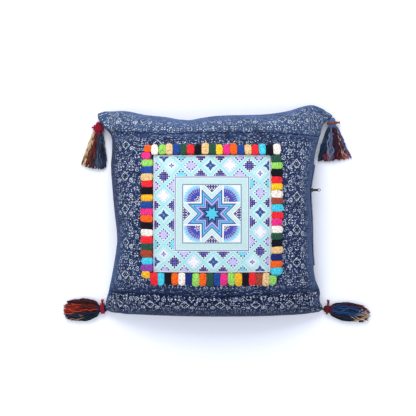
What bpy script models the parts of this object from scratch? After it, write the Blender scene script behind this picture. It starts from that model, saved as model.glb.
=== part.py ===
"""A square filled cushion that lies on its back.

The indigo printed cover has a border band sewn across its top and bottom, four eared
corners with a yarn tassel tied to each, and a zip in its right side. On its face lies a
square embroidered panel with a row of yarn pompoms, held by a tape, along each edge.

Metres, +Z up. X runs across the face, Y runs up it, and the origin is the middle of the
flat spot on which the back rests.
"""

from collections import namedtuple
from math import cos, exp, hypot, pi, radians, sin, sqrt

import bmesh
import bpy
from mathutils import Matrix, Vector

MM = 0.001

# Clearances between pieces
GAP = 0.3 * MM
SHEET_LIFT = 0.5 * MM

# The cover, before its sides are drawn in
HALF_WIDTH = 205 * MM
HALF_HEIGHT = 202 * MM
MIDDLE_X = 1 * MM
PULL_START = 0.62
PULL_POWER = 3

# The filling: seam height above the rest, crown of the face and swell of the back
SEAM_HEIGHT = 45 * MM
CORNER_DROOP = 34 * MM
FACE_CROWN = 90 * MM
FACE_POWER = 0.42
BACK_SWELL = 62 * MM
BACK_POWER = 0.5
STEPS_ACROSS = 26
STEPS_UP = 24

# The two seams across the face, as shares of the half height
SEAM_SHARES = (-0.772, 0.79)
CHANNEL_DEPTH = 6 * MM
CHANNEL_HALF = 0.032

# The panel and its pompom tapes
PANEL_SIDE = 224.5 * MM
PANEL_X = -4.5 * MM
PANEL_Y = 3 * MM
PANEL_THICK = 1.5 * MM
PANEL_STEPS = 12
TAPE_START = 1 * MM
TAPE_END = 5 * MM
TAPE_THICK = 1.2 * MM
POMPOM_ROOT = 11 * MM
CORNER_SETBACK = 5.5 * MM

# The tassels: the neck where a head meets its strands
NECK_HALF_ACROSS = 9 * MM
NECK_HALF_UP = 6.5 * MM
NECK_HEIGHT = 9.2 * MM
STRAND_ROWS = 3
STRAND_HEIGHT = 3.6 * MM
ROW_PITCH = 4.3 * MM
ROW_CROWN = 1.6 * MM
STRAND_SHARE = 0.78
STRAND_INSET = 0.14 * MM
STRAND_STAGES = (0.22, 0.62, 1.0)
TIE_THICK = 1.7 * MM
FREE_END_TAPER = 0.4

# The zip
ZIP_FROM = -120 * MM
ZIP_TO = 115 * MM
ZIP_HALF_HEIGHT = 5 * MM
ZIP_THICK = 1.5 * MM
SLIDER_Y = 50 * MM
SLIDER_SIZE = Vector((4, 8, 7)) * MM
PULL_LENGTH = 10 * MM
PULL_WIDTH = 5.6 * MM
PULL_THICK = 1.6 * MM
EYE_RADIUS = 2.4 * MM
EYE_WIRE = 0.6 * MM

# How far each side of the cover stands out of its straight line, in mm, along the side
SidePoint = namedtuple("SidePoint", "along out")
LEFT_SIDE = (
    SidePoint(-202, 14),
    SidePoint(-185, 16),
    SidePoint(-160, 11),
    SidePoint(-130, 4),
    SidePoint(-90, -4),
    SidePoint(-50, -10),
    SidePoint(10, -4),
    SidePoint(50, 0),
    SidePoint(100, 4),
    SidePoint(138, 2),
    SidePoint(162, 6),
    SidePoint(180, 22),
    SidePoint(202, 28),
)
RIGHT_SIDE = (
    SidePoint(-202, 19),
    SidePoint(-180, 8),
    SidePoint(-153, 4),
    SidePoint(-125, -2),
    SidePoint(-80, -9),
    SidePoint(-10, -11),
    SidePoint(55, -14),
    SidePoint(85, -8),
    SidePoint(130, 0),
    SidePoint(162, 10),
    SidePoint(184, 15),
    SidePoint(193, 26),
    SidePoint(202, 35),
)
TOP_SIDE = (
    SidePoint(-204, 3),
    SidePoint(-176, 6),
    SidePoint(-140, 0),
    SidePoint(-100, -4),
    SidePoint(-54, -12),
    SidePoint(-10, -4),
    SidePoint(50, -1),
    SidePoint(100, 1),
    SidePoint(145, 8),
    SidePoint(175, 17),
    SidePoint(192, 12),
    SidePoint(206, -2),
)
BOTTOM_SIDE = (
    SidePoint(-204, -9),
    SidePoint(-190, -3),
    SidePoint(-150, 0),
    SidePoint(0, 2),
    SidePoint(150, 1),
    SidePoint(190, -3),
    SidePoint(206, -11),
)

# Creases pressed into the face, in mm: where each starts and ends, its half width and depth
Crease = namedtuple("Crease", "x y to_x to_y half depth")
CREASES = (
    Crease(200, -152, 168, -172, 7, 5),
    Crease(-204, 158, -170, 160, 9, 4),
    Crease(210, 168, 188, 196, 7, 4),
    Crease(-206, -182, -184, -180, 6, 3),
    Crease(-54, 188, -50, 166, 10, 3),
)

# One pompom from its root upwards, in mm: a stage spans inner to outer, away from the panel
PompomStage = namedtuple("PompomStage", "inner outer half rise")
POMPOM_STAGES = (
    PompomStage(1.2, 19.5, 5.6, 1.0),
    PompomStage(0.8, 23.0, 6.45, 5.5),
    PompomStage(4.0, 20.0, 4.4, 10.0),
)

# A row of pompoms: its edge's turn from the top edge, in degrees, the first and last place
# along it, in mm, and which of its pompoms are short, to clear the row that it meets
PompomRow = namedtuple("PompomRow", "name turn count first last short")
POMPOM_ROWS = (
    PompomRow("pompom_trim_top", 0, 19, -123.9, 125.1, (0,)),
    PompomRow("pompom_trim_right", -90, 17, -105.7, 110.8, ()),
    PompomRow("pompom_trim_bottom", 180, 18, -118.0, 111.7, (0,)),
    PompomRow("pompom_trim_left", 90, 18, -117.8, 111.4, (0, 17)),
)

# The tassels, in mm and degrees: the head's top, the way it lies and what hangs from it
Tassel = namedtuple("Tassel", "name x y heading head skirt half_end columns opening")
TASSELS = (
    Tassel("tassel_nw", -233.25, 186.0, -95, 18, 74, 25, 9, 0.8),
    Tassel("tassel_ne", 240.0, 195.3, -89, 15, 70, 33, 11, 0.9),
    Tassel("tassel_sw", -219.0, -189.0, 183, 15, 66, 23, 10, 0.5),
    Tassel("tassel_se", 225.5, -191.0, -8, 12, 76, 21, 10, 0.6),
)

# The ties, in mm along the head: the band, and how far its free end stands out sideways
Tie = namedtuple("Tie", "name start end free_end side")
TIES = (
    Tie("tie_nw", 4, 16, 3, -1),
    Tie("tie_ne", 6, 11, 8, 1),
    Tie("tie_sw", 4, 12, 9, -1),
    Tie("tie_se", 3, 8, 9, 1),
)

# Colours of the yarns and cloths, as linear red, green and blue
INDIGO_COTTON = (0.045, 0.075, 0.17)
AQUA_COTTON = (0.56, 0.86, 0.86)
MIXED_WOOL = (0.62, 0.18, 0.12)
TASSEL_YARN = {
    "tassel_nw": (0.30, 0.05, 0.05),
    "tassel_ne": (0.12, 0.16, 0.30),
    "tassel_sw": (0.36, 0.05, 0.03),
    "tassel_se": (0.03, 0.06, 0.16),
}
TIE_YARN = {
    "tie_nw": (0.42, 0.01, 0.07),
    "tie_ne": (0.30, 0.10, 0.06),
    "tie_sw": (0.42, 0.01, 0.09),
    "tie_se": (0.16, 0.02, 0.02),
}
BLACK_ENAMEL = (0.01, 0.01, 0.012)
PALE_METAL = (0.75, 0.74, 0.72)


def clear_scene():
    for old in list(bpy.data.objects):
        bpy.data.objects.remove(old, do_unlink=True)


def material(name, colour, roughness, metallic=0.0):
    made = bpy.data.materials.new(name)
    made.use_nodes = True
    surface = made.node_tree.nodes["Principled BSDF"]
    surface.inputs["Base Color"].default_value = (*colour, 1.0)
    surface.inputs["Roughness"].default_value = roughness
    surface.inputs["Metallic"].default_value = metallic
    return made


def finish_object(name, shape, cloth, place=(0.0, 0.0, 0.0)):
    """Turn the shape into a named object with its faces pointing out."""
    bmesh.ops.recalc_face_normals(shape, faces=shape.faces)
    if shape.calc_volume(signed=True) < 0:
        bmesh.ops.reverse_faces(shape, faces=shape.faces)
    mesh = bpy.data.meshes.new(name)
    shape.to_mesh(mesh)
    shape.free()
    mesh.materials.append(cloth)
    mesh.shade_smooth()
    mesh.set_sharp_from_angle(angle=radians(50))
    made = bpy.data.objects.new(name, mesh)
    made.location = place
    bpy.context.scene.collection.objects.link(made)
    return made


# The cover's outline and its filling

def side_slope(rows, index):
    before = rows[max(index - 1, 0)]
    after = rows[min(index + 1, len(rows) - 1)]
    return (after.out - before.out) / (after.along - before.along)


def side_bulge(rows, along):
    """How far a side stands out at this place, on a smooth curve through its rows."""
    place = min(max(along / MM, rows[0].along), rows[-1].along)
    index = min(sum(row.along <= place for row in rows), len(rows) - 1) - 1
    start = rows[index]
    end = rows[index + 1]
    span = end.along - start.along
    share = (place - start.along) / span
    left_over = 1 - share
    value = start.out * (1 + 2 * share) * left_over**2
    value += end.out * (3 - 2 * share) * share**2
    value += side_slope(rows, index) * span * share * left_over**2
    value -= side_slope(rows, index + 1) * span * share**2 * left_over
    return value * MM


def pull(share):
    """How much of its side's bulge a place takes, from none at the middle to all at the side."""
    return max(0.0, (share - PULL_START) / (1 - PULL_START)) ** PULL_POWER


def plan(u, v):
    """Where the shares u across and v up lie on the table."""
    across = HALF_WIDTH * u
    up = HALF_HEIGHT * v
    x = MIDDLE_X + across
    x += side_bulge(RIGHT_SIDE, up) * pull(u) - side_bulge(LEFT_SIDE, up) * pull(-u)
    y = up
    y += side_bulge(TOP_SIDE, across) * pull(v) - side_bulge(BOTTOM_SIDE, across) * pull(-v)
    return x, y


def fullness(u, v, power):
    return max(0.0, (1 - u * u) * (1 - v * v)) ** power


def seam_height(u, v):
    return SEAM_HEIGHT - CORNER_DROOP * (u * v) ** 2


def crease_distance(crease, x, y):
    run_x = crease.to_x - crease.x
    run_y = crease.to_y - crease.y
    reach = (x - crease.x) * run_x + (y - crease.y) * run_y
    share = min(1.0, max(0.0, reach / (run_x**2 + run_y**2)))
    return hypot(x - crease.x - share * run_x, y - crease.y - share * run_y)


def pressed_in(u, v):
    """How deep the sewn channels and the creases press the face at this place."""
    x, y = plan(u, v)
    depth = sum(CHANNEL_DEPTH * exp(-(((v - seam) / CHANNEL_HALF) ** 2)) for seam in SEAM_SHARES)
    for crease in CREASES:
        away = crease_distance(crease, x / MM, y / MM) / crease.half
        depth += crease.depth * MM * exp(-(away**2))
    return depth * min(1.0, 3 * fullness(u, v, FACE_POWER))


def face_height(u, v):
    return seam_height(u, v) + FACE_CROWN * fullness(u, v, FACE_POWER) - pressed_in(u, v)


def back_height(u, v):
    return max(0.0, seam_height(u, v) - BACK_SWELL * fullness(u, v, BACK_POWER))


def height_over(x, y):
    """The face's height over a place in the middle, where the cover isn't drawn in."""
    return face_height((x - MIDDLE_X) / HALF_WIDTH, y / HALF_HEIGHT)


def stations(count, kept=()):
    """Shares from -1 to 1, closer together towards both ends, with the kept ones put in."""
    even = [sin(pi / 2 * (2 * step / count - 1)) for step in range(count + 1)]
    clear = [share for share in even if all(abs(share - one) > CHANNEL_HALF for one in kept)]
    return sorted(clear + list(kept))


def channel_stations():
    return [seam + side for seam in SEAM_SHARES for side in (-1.2 * CHANNEL_HALF, 0, 1.2 * CHANNEL_HALF)]


def lay_faces(shape, grid):
    faces = []
    for low, high in zip(grid, grid[1:]):
        for corners in zip(low, low[1:], high[1:], high):
            faces.append(shape.faces.new(corners))
    return faces


def make_cushion():
    shape = bmesh.new()
    across = stations(STEPS_ACROSS)
    up = stations(STEPS_UP, channel_stations())
    face = [[shape.verts.new((*plan(u, v), face_height(u, v))) for u in across] for v in up]
    back = []
    for row, v in enumerate(up):
        line = []
        for column, u in enumerate(across):
            on_side = row in (0, len(up) - 1) or column in (0, len(across) - 1)
            line.append(face[row][column] if on_side else shape.verts.new((*plan(u, v), back_height(u, v))))
        back.append(line)
    lay_faces(shape, face)
    lay_faces(shape, back)
    resting = [one for one in shape.faces if max(corner.co.z for corner in one.verts) < GAP / 10]
    bmesh.ops.dissolve_faces(shape, faces=resting, use_verts=True)
    return finish_object("cushion", shape, material("printed_cotton", INDIGO_COTTON, 0.9))


# Sheets that lie on the face

def closed_sheet(shape, low, high):
    """A sheet between two grids of points, closed round its rim. Returns its upper faces."""
    under = [[shape.verts.new(point) for point in line] for line in low]
    over = [[shape.verts.new(point) for point in line] for line in high]
    lay_faces(shape, under)
    upper = lay_faces(shape, over)
    for row in (0, -1):
        lay_faces(shape, [under[row], over[row]])
    for column in (0, -1):
        lay_faces(shape, [[line[column] for line in under], [line[column] for line in over]])
    return upper


def on_face(x, y, lift):
    return Vector((x, y, height_over(x, y) + lift))


def make_panel():
    shape = bmesh.new()
    places = [PANEL_SIDE * (step / PANEL_STEPS - 0.5) for step in range(PANEL_STEPS + 1)]
    grids = []
    for lift in (SHEET_LIFT, SHEET_LIFT + PANEL_THICK):
        grids.append([[on_face(PANEL_X + x, PANEL_Y + y, lift) for x in places] for y in places])
    closed_sheet(shape, *grids)
    return finish_object("panel", shape, material("embroidered_cotton", AQUA_COTTON, 0.85))


def beside_panel(row, along, away, lift):
    """A point on the face, along one edge of the panel and away from it."""
    turn = radians(row.turn)
    reach = PANEL_SIDE / 2 + away
    x = PANEL_X + along * cos(turn) - reach * sin(turn)
    y = PANEL_Y + along * sin(turn) + reach * cos(turn)
    return on_face(x, y, lift)


def grow_pompom(shape, root, row, place, setback):
    """Extrude one pompom, a lock of four sides, from its root on the tape."""
    tip = root
    for stage in POMPOM_STAGES:
        tip = bmesh.ops.extrude_discrete_faces(shape, faces=[tip])["faces"][0]
        inner = stage.inner * MM + setback
        outer = stage.outer * MM
        lift = SHEET_LIFT + TAPE_THICK + stage.rise * MM
        corners = [(-1, inner), (1, inner), (1, outer), (-1, outer)]
        for corner, (side, away) in zip(tip.verts, corners):
            corner.co = beside_panel(row, place + side * stage.half * MM, away, lift)


def make_pompom_row(row):
    shape = bmesh.new()
    pitch = (row.last - row.first) * MM / (row.count - 1)
    places = [row.first * MM + pitch * step for step in range(row.count)]
    ends = [place + side * POMPOM_ROOT / 2 for place in places for side in (-1, 1)]
    setbacks = [CORNER_SETBACK if index in row.short else 0.0 for index in range(row.count)]
    inner_line = [(end, TAPE_START + setbacks[index // 2]) for index, end in enumerate(ends)]
    outer_line = [(end, TAPE_END + setbacks[index // 2]) for index, end in enumerate(ends)]
    lines = (inner_line, outer_line)
    grids = []
    for lift in (SHEET_LIFT, SHEET_LIFT + TAPE_THICK):
        grids.append([[beside_panel(row, *point, lift) for point in line] for line in lines])
    upper = closed_sheet(shape, *grids)
    for root, place, setback in zip(upper[::2], places, setbacks):
        grow_pompom(shape, root, row, place, setback)
    return finish_object(row.name, shape, material("wool_pompoms", MIXED_WOOL, 0.95))


# Tassels and their ties

def lie(tassel, along, across, up):
    """A point of a tassel, in its own directions, on the table."""
    turn = radians(tassel.heading)
    x = tassel.x * MM + along * cos(turn) - across * sin(turn)
    y = tassel.y * MM + along * sin(turn) + across * cos(turn)
    return Vector((x, y, up))


def neck_rim(columns):
    """Places round the neck's rim, as shares across and up."""
    level = [2 * step / columns - 1 for step in range(columns + 1)]
    rise = [2 * step / STRAND_ROWS - 1 for step in range(STRAND_ROWS + 1)]
    rim = [(share, -1.0) for share in level]
    rim += [(1.0, share) for share in rise[1:]]
    rim += [(share, 1.0) for share in reversed(level[:-1])]
    rim += [(-1.0, share) for share in reversed(rise[1:-1])]
    return rim


def rounded(share_across, share_up):
    """Draw the corners of the square of shares in, halfway to a circle."""
    narrow = (1 + sqrt(1 - share_up**2 / 2)) / 2
    low = (1 + sqrt(1 - share_across**2 / 2)) / 2
    return share_across * narrow, share_up * low


def head_point(tassel, along, share_across, share_up, size, extra=0.0):
    across, up = rounded(share_across, share_up)
    return lie(
        tassel,
        along,
        across * (NECK_HALF_ACROSS * size + extra),
        NECK_HEIGHT + up * (NECK_HALF_UP * size + extra),
    )


def strand_corner(tassel, column, row, stage, side_across, side_up):
    """A corner of one strand's section, at this share of the skirt's length."""
    middle = (2 * column + 1) / tassel.columns - 1
    spread = NECK_HALF_ACROSS + (tassel.half_end * MM - NECK_HALF_ACROSS) * stage**tassel.opening
    width = STRAND_SHARE * spread / tassel.columns
    across = middle * spread + side_across * width
    length = 1 - 0.05 * ((3 * column + 2 * row) % 4) - 0.06 * middle**2
    along = tassel.head * MM + tassel.skirt * MM * stage * length
    floor = row * (ROW_PITCH + ROW_CROWN * (1 - middle**2) / 2)
    settled = min(1.0, stage / STRAND_STAGES[0])
    root = NECK_HEIGHT + NECK_HALF_UP * (2 * row / STRAND_ROWS - 1)
    low = root + (floor - root) * settled
    return lie(tassel, along, across, low + STRAND_HEIGHT * (1 + side_up) / 2)


def grow_strand(shape, root, tassel, column, row):
    """Extrude one strand, a lock of four sides, down to the rest."""
    tip = root
    corners = [(-1, -1), (1, -1), (1, 1), (-1, 1)]
    for stage in STRAND_STAGES:
        tip = bmesh.ops.extrude_discrete_faces(shape, faces=[tip])["faces"][0]
        for corner, sides in zip(tip.verts, corners):
            corner.co = strand_corner(tassel, column, row, stage, *sides)


def make_tassel(tassel):
    shape = bmesh.new()
    rim = neck_rim(tassel.columns)
    neck = tassel.head * MM
    stages = [(0.0, 0.45), (0.12 * neck, 0.85), (0.5 * neck, 1.0), (neck, 1.0)]
    rings = []
    for along, size in stages:
        rings.append([shape.verts.new(head_point(tassel, along, *spot, size)) for spot in rim])
    for first, second in zip(rings, rings[1:]):
        lay_faces(shape, [first + first[:1], second + second[:1]])
    shape.faces.new(rings[0])
    on_rim = dict(zip([(round(a, 6), round(b, 6)) for a, b in rim], rings[-1]))
    grid = []
    for row in range(STRAND_ROWS + 1):
        line = []
        for column in range(tassel.columns + 1):
            spot = (round(2 * column / tassel.columns - 1, 6), round(2 * row / STRAND_ROWS - 1, 6))
            held = on_rim.get(spot)
            line.append(held or shape.verts.new(head_point(tassel, neck, *spot, 1.0)))
        grid.append(line)
    roots = lay_faces(shape, grid)
    bmesh.ops.inset_individual(shape, faces=roots, thickness=STRAND_INSET)
    for index, root in enumerate(roots):
        grow_strand(shape, root, tassel, index % tassel.columns, index // tassel.columns)
    cloth = material(tassel.name + "_yarn", TASSEL_YARN[tassel.name], 0.9)
    return finish_object(tassel.name, shape, cloth)


def make_tie(tie, tassel):
    """A band round the head, with a free end drawn out of its side."""
    shape = bmesh.new()
    rim = neck_rim(tassel.columns)
    loops = []
    for along, extra in (
        (tie.start * MM, GAP),
        (tie.start * MM, GAP + TIE_THICK),
        (tie.end * MM, GAP + TIE_THICK),
        (tie.end * MM, GAP),
    ):
        loops.append([shape.verts.new(head_point(tassel, along, *spot, 1.0, extra)) for spot in rim])
    outer_faces = []
    for index in range(len(loops)):
        first = loops[index]
        second = loops[(index + 1) % len(loops)]
        faces = lay_faces(shape, [first + first[:1], second + second[:1]])
        outer_faces = faces if index == 1 else outer_faces
    ends = [face for face, spot in zip(outer_faces, rim) if spot[0] == tie.side and abs(spot[1]) < 0.5]
    tip = bmesh.ops.extrude_discrete_faces(shape, faces=ends[:1])["faces"][0]
    outwards = lie(tassel, 0, tie.side, 0) - lie(tassel, 0, 0, 0)
    bmesh.ops.translate(shape, vec=outwards * tie.free_end * MM, verts=tip.verts)
    middle = tip.calc_center_median()
    for corner in tip.verts:
        corner.co = middle.lerp(corner.co, FREE_END_TAPER)
    return finish_object(tie.name, shape, material(tie.name + "_yarn", TIE_YARN[tie.name], 0.9))


# The zip in the right side

def side_at(y):
    """Where the right side's seam runs, and how high it is there."""
    v = y / HALF_HEIGHT
    return Vector((MIDDLE_X + HALF_WIDTH + side_bulge(RIGHT_SIDE, y), y, seam_height(1.0, v)))


def make_zip_tape():
    shape = bmesh.new()
    cover_rows = [HALF_HEIGHT * v for v in stations(STEPS_UP, channel_stations())]
    places = [y for y in cover_rows if ZIP_FROM < y < ZIP_TO]
    heights = (-ZIP_HALF_HEIGHT, ZIP_HALF_HEIGHT)
    grids = []
    for away in (SHEET_LIFT, SHEET_LIFT + ZIP_THICK):
        grids.append([[side_at(y) + Vector((away, 0, up)) for y in places] for up in heights])
    closed_sheet(shape, *grids)
    return finish_object("zip_tape", shape, material("zip_tape_black", BLACK_ENAMEL, 0.8))


def make_zip_slider():
    shape = bmesh.new()
    bmesh.ops.create_cube(shape, size=1.0)
    bmesh.ops.scale(shape, vec=SLIDER_SIZE, verts=shape.verts)
    bmesh.ops.bevel(shape, geom=shape.edges, offset=0.6 * MM, segments=1, affect="EDGES")
    place = side_at(SLIDER_Y)
    place.x += SHEET_LIFT + ZIP_THICK + GAP + SLIDER_SIZE.x / 2
    return finish_object("zip_slider", shape, material("slider_enamel", BLACK_ENAMEL, 0.35), place)


def make_eye(centre):
    """The ring at the pull's end, turned from a small round section."""
    shape = bmesh.new()
    section = bmesh.ops.create_circle(shape, segments=6, radius=EYE_WIRE)["verts"]
    upright = Matrix.Rotation(radians(90), 3, "X")
    for corner in section:
        corner.co = upright @ corner.co + Vector((EYE_RADIUS, 0, 0))
    bmesh.ops.spin(
        shape,
        geom=list(shape.edges),
        cent=(0, 0, 0),
        axis=(0, 0, 1),
        angle=2 * pi,
        steps=12,
        use_merge=True,
    )
    return finish_object("zip_pull_eye", shape, material("pull_metal", PALE_METAL, 0.3, 1.0), centre)


def make_zip_pull():
    """The flat tab that stands out of the slider, with a small ring fused to its end."""
    shape = bmesh.new()
    bmesh.ops.create_cube(shape, size=1.0)
    bmesh.ops.scale(shape, vec=(PULL_LENGTH, PULL_WIDTH, PULL_THICK), verts=shape.verts)
    bmesh.ops.bevel(shape, geom=shape.edges, offset=0.4 * MM, segments=1, affect="EDGES")
    place = side_at(SLIDER_Y)
    place.x += SHEET_LIFT + ZIP_THICK + SLIDER_SIZE.x + 2 * GAP + PULL_LENGTH / 2
    tab = finish_object("zip_pull", shape, material("pull_enamel", BLACK_ENAMEL, 0.3), place)
    eye = make_eye(place + Vector((PULL_LENGTH / 2 + EYE_RADIUS - EYE_WIRE / 2, 0, 0)))
    eye.hide_render = True
    eye.display_type = "WIRE"
    joined = tab.modifiers.new("eye", "BOOLEAN")
    joined.operation = "UNION"
    joined.solver = "EXACT"
    joined.object = eye
    return tab


def main():
    clear_scene()
    make_cushion()
    make_panel()
    for row in POMPOM_ROWS:
        make_pompom_row(row)
    for tassel, tie in zip(TASSELS, TIES):
        make_tassel(tassel)
        make_tie(tie, tassel)
    make_zip_tape()
    make_zip_slider()
    make_zip_pull()


main()
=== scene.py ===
"""Dresses the square cushion that lies on its back, face up.

The filled cover is simulated from its CAD solid and printed, the embroidered panel and its
rows of wool pompoms are laid on the filled face, and the tassels, their ties and the zip are
made from yarn, tape and metal. Metres, +Z up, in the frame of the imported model.
"""

import logging
import math
import random
from collections.abc import Callable
from dataclasses import dataclass, field
from enum import Enum
from functools import reduce
from typing import Any

import bmesh
import bpy
import numpy as np
from mathutils import Matrix, Vector
from mathutils.bvhtree import BVHTree


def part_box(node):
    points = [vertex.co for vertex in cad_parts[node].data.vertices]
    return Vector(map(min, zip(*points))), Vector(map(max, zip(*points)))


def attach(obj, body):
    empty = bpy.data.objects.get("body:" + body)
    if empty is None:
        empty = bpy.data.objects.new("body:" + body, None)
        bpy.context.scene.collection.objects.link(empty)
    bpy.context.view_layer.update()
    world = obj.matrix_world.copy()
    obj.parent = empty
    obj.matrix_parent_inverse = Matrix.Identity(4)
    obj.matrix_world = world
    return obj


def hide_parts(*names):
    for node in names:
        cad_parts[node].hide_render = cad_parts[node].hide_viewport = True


MM = 0.001
BODY = "root"
PANEL_SIDE = 224.5 * MM
PANEL_MIDDLE = (-4.5 * MM, 3 * MM)

logging.basicConfig(level=logging.INFO, format="%(message)s")
log = logging.getLogger("cushion")

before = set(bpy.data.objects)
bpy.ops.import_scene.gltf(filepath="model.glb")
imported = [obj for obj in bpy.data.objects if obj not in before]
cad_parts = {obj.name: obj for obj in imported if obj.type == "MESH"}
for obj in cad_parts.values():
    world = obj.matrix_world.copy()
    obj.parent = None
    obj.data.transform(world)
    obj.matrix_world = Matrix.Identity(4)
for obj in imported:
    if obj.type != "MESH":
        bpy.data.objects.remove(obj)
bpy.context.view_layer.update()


# Small helpers for objects, meshes and nodes


def linear(code: str) -> tuple[float, float, float, float]:
    """Turn an sRGB hex colour into linear red, green, blue and alpha.

    Args:
        code: the colour as six hex digits after a hash.

    Returns:
        The colour as the nodes and attributes want it.
    """
    shares = [int(code[place : place + 2], 16) / 255 for place in (1, 3, 5)]
    light = [one / 12.92 if one <= 0.04045 else ((one + 0.055) / 1.055) ** 2.4 for one in shares]
    return (light[0], light[1], light[2], 1.0)


def pick(piece: bpy.types.Object) -> None:
    """Make this piece the only one selected, and the active one."""
    bpy.ops.object.select_all(action="DESELECT")
    piece.select_set(True)
    bpy.context.view_layer.objects.active = piece


def apply_modifier(piece: bpy.types.Object, kind: str, **settings: Any) -> None:
    """Add a modifier to a piece and apply it.

    Args:
        piece: the piece that is changed.
        kind: the modifier's type.
        settings: the modifier's own settings, by name.
    """
    pick(piece)
    added = piece.modifiers.new(kind.lower(), kind)
    for name, value in settings.items():
        setattr(added, name, value)
    bpy.ops.object.modifier_apply(modifier=added.name)


def settle(piece: bpy.types.Object) -> None:
    """Put the piece's place, turn and size into its mesh."""
    pick(piece)
    bpy.ops.object.transform_apply(location=True, rotation=True, scale=True)


def add_shape(kind: Callable[..., Any], **settings: Any) -> bpy.types.Object:
    """Add a plain shape, such as a cube or a grid.

    Args:
        kind: the operator that adds it.
        settings: the operator's own settings, by name.

    Returns:
        The new object.
    """
    bpy.ops.object.select_all(action="DESELECT")
    kind(**settings)
    return bpy.context.active_object


def edit(piece: bpy.types.Object, step: Callable[..., Any], **settings: Any) -> None:
    """Run one mesh step on the whole of a piece.

    Args:
        piece: the piece that is changed.
        step: the operator to run.
        settings: the operator's own settings, by name.
    """
    pick(piece)
    bpy.ops.object.mode_set(mode="EDIT")
    bpy.ops.mesh.select_all(action="SELECT")
    step(**settings)
    bpy.ops.object.mode_set(mode="OBJECT")


def link(piece: bpy.types.Object) -> bpy.types.Object:
    """Add an object to the scene, and hand it back."""
    bpy.context.scene.collection.objects.link(piece)
    return piece


def copy_node(node: str, name: str) -> bpy.types.Object:
    """A copy of a CAD node's solid in its own place, as a new piece of this name."""
    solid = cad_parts[node]
    mesh = solid.data.copy()
    mesh.transform(solid.matrix_world)
    return link(bpy.data.objects.new(name, mesh))


def twin(piece: bpy.types.Object) -> bpy.types.Object:
    """A second piece like this one, with its own mesh."""
    copy = piece.copy()
    copy.data = piece.data.copy()
    return link(copy)


def put_on(piece: bpy.types.Object, material: bpy.types.Material) -> None:
    """Make this the piece's only material."""
    piece.data.materials.clear()
    piece.data.materials.append(material)


def smooth(piece: bpy.types.Object, angle: float | None = None) -> None:
    """Shade a piece smooth, all over or only where its faces turn by less than an angle in degrees."""
    pick(piece)
    if angle is None:
        bpy.ops.object.shade_smooth()
    else:
        bpy.ops.object.shade_smooth_by_angle(angle=math.radians(angle))


def join(pieces: list[bpy.types.Object], name: str) -> bpy.types.Object:
    """Join pieces into one mesh object.

    Args:
        pieces: the objects to join; they are used up.
        name: the new object's name.

    Returns:
        The joined object.
    """
    pick(pieces[0])
    for piece in pieces:
        piece.select_set(True)
    bpy.ops.object.join()
    joined = bpy.context.view_layer.objects.active
    joined.name = name
    joined.data.name = name
    return joined


def paint(piece: bpy.types.Object, name: str, colours: np.ndarray, domain: str = "POINT") -> None:
    """Store a colour for each point or corner of a piece.

    Args:
        piece: the piece to paint.
        name: the attribute's name.
        colours: linear colours, one row of four for each point or corner.
        domain: POINT or CORNER.
    """
    layer = piece.data.color_attributes.new(name, "FLOAT_COLOR", domain)
    layer.data.foreach_set("color", np.asarray(colours, dtype=np.float32).ravel())


def store(piece: bpy.types.Object, name: str, rows: np.ndarray, domain: str = "POINT") -> None:
    """Store three numbers for each point or corner of a piece.

    Args:
        piece: the piece that keeps them.
        name: the attribute's name.
        rows: the numbers, one row of three for each point or corner.
        domain: POINT or CORNER.
    """
    layer = piece.data.attributes.new(name, "FLOAT_VECTOR", domain)
    layer.data.foreach_set("vector", rows.ravel().astype(np.float32))


def points_of(piece: bpy.types.Object, what: str = "co") -> np.ndarray:
    """The piece's points, or what else they keep, such as their normals, one row each."""
    flat = np.empty(3 * len(piece.data.vertices))
    piece.data.vertices.foreach_get(what, flat)
    return flat.reshape(-1, 3)


def move_points(piece: bpy.types.Object, places: np.ndarray) -> None:
    """Put the piece's points at these places."""
    piece.data.vertices.foreach_set("co", places.ravel())
    piece.data.update()


def bell(away: np.ndarray, wide: float) -> np.ndarray:
    """A bell curve over distances: 1 at none, about a third at this width in mm, and nothing far off."""
    return np.exp(-((away / (wide * MM)) ** 2))


def away_from(places: np.ndarray, x: float, y: float) -> np.ndarray:
    """How far each place is, in plan, from a spot given in mm."""
    return np.hypot(places[:, 0] - x * MM, places[:, 1] - y * MM)


def band(bands: tuple[tuple[float, Any], ...], value: float) -> Any:
    """What belongs to the first band whose upper limit a value doesn't pass."""
    return next(found for limit, found in bands if value <= limit)


def ride_and_report(piece: bpy.types.Object, slot: str, *nodes: str) -> None:
    """Tie a finished piece to the body, hide the CAD nodes it stands for and log its triangle count.

    Args:
        piece: the finished piece.
        slot: not used.
        nodes: the CAD nodes that it replaces.
    """
    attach(piece, BODY)
    if nodes:
        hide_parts(*nodes)
    count = sum(len(face.vertices) - 2 for face in piece.data.polygons)
    log.info("%s: %d triangles, for %s", piece.name, count, ", ".join(nodes) or "no node")


# Finishes


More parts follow.
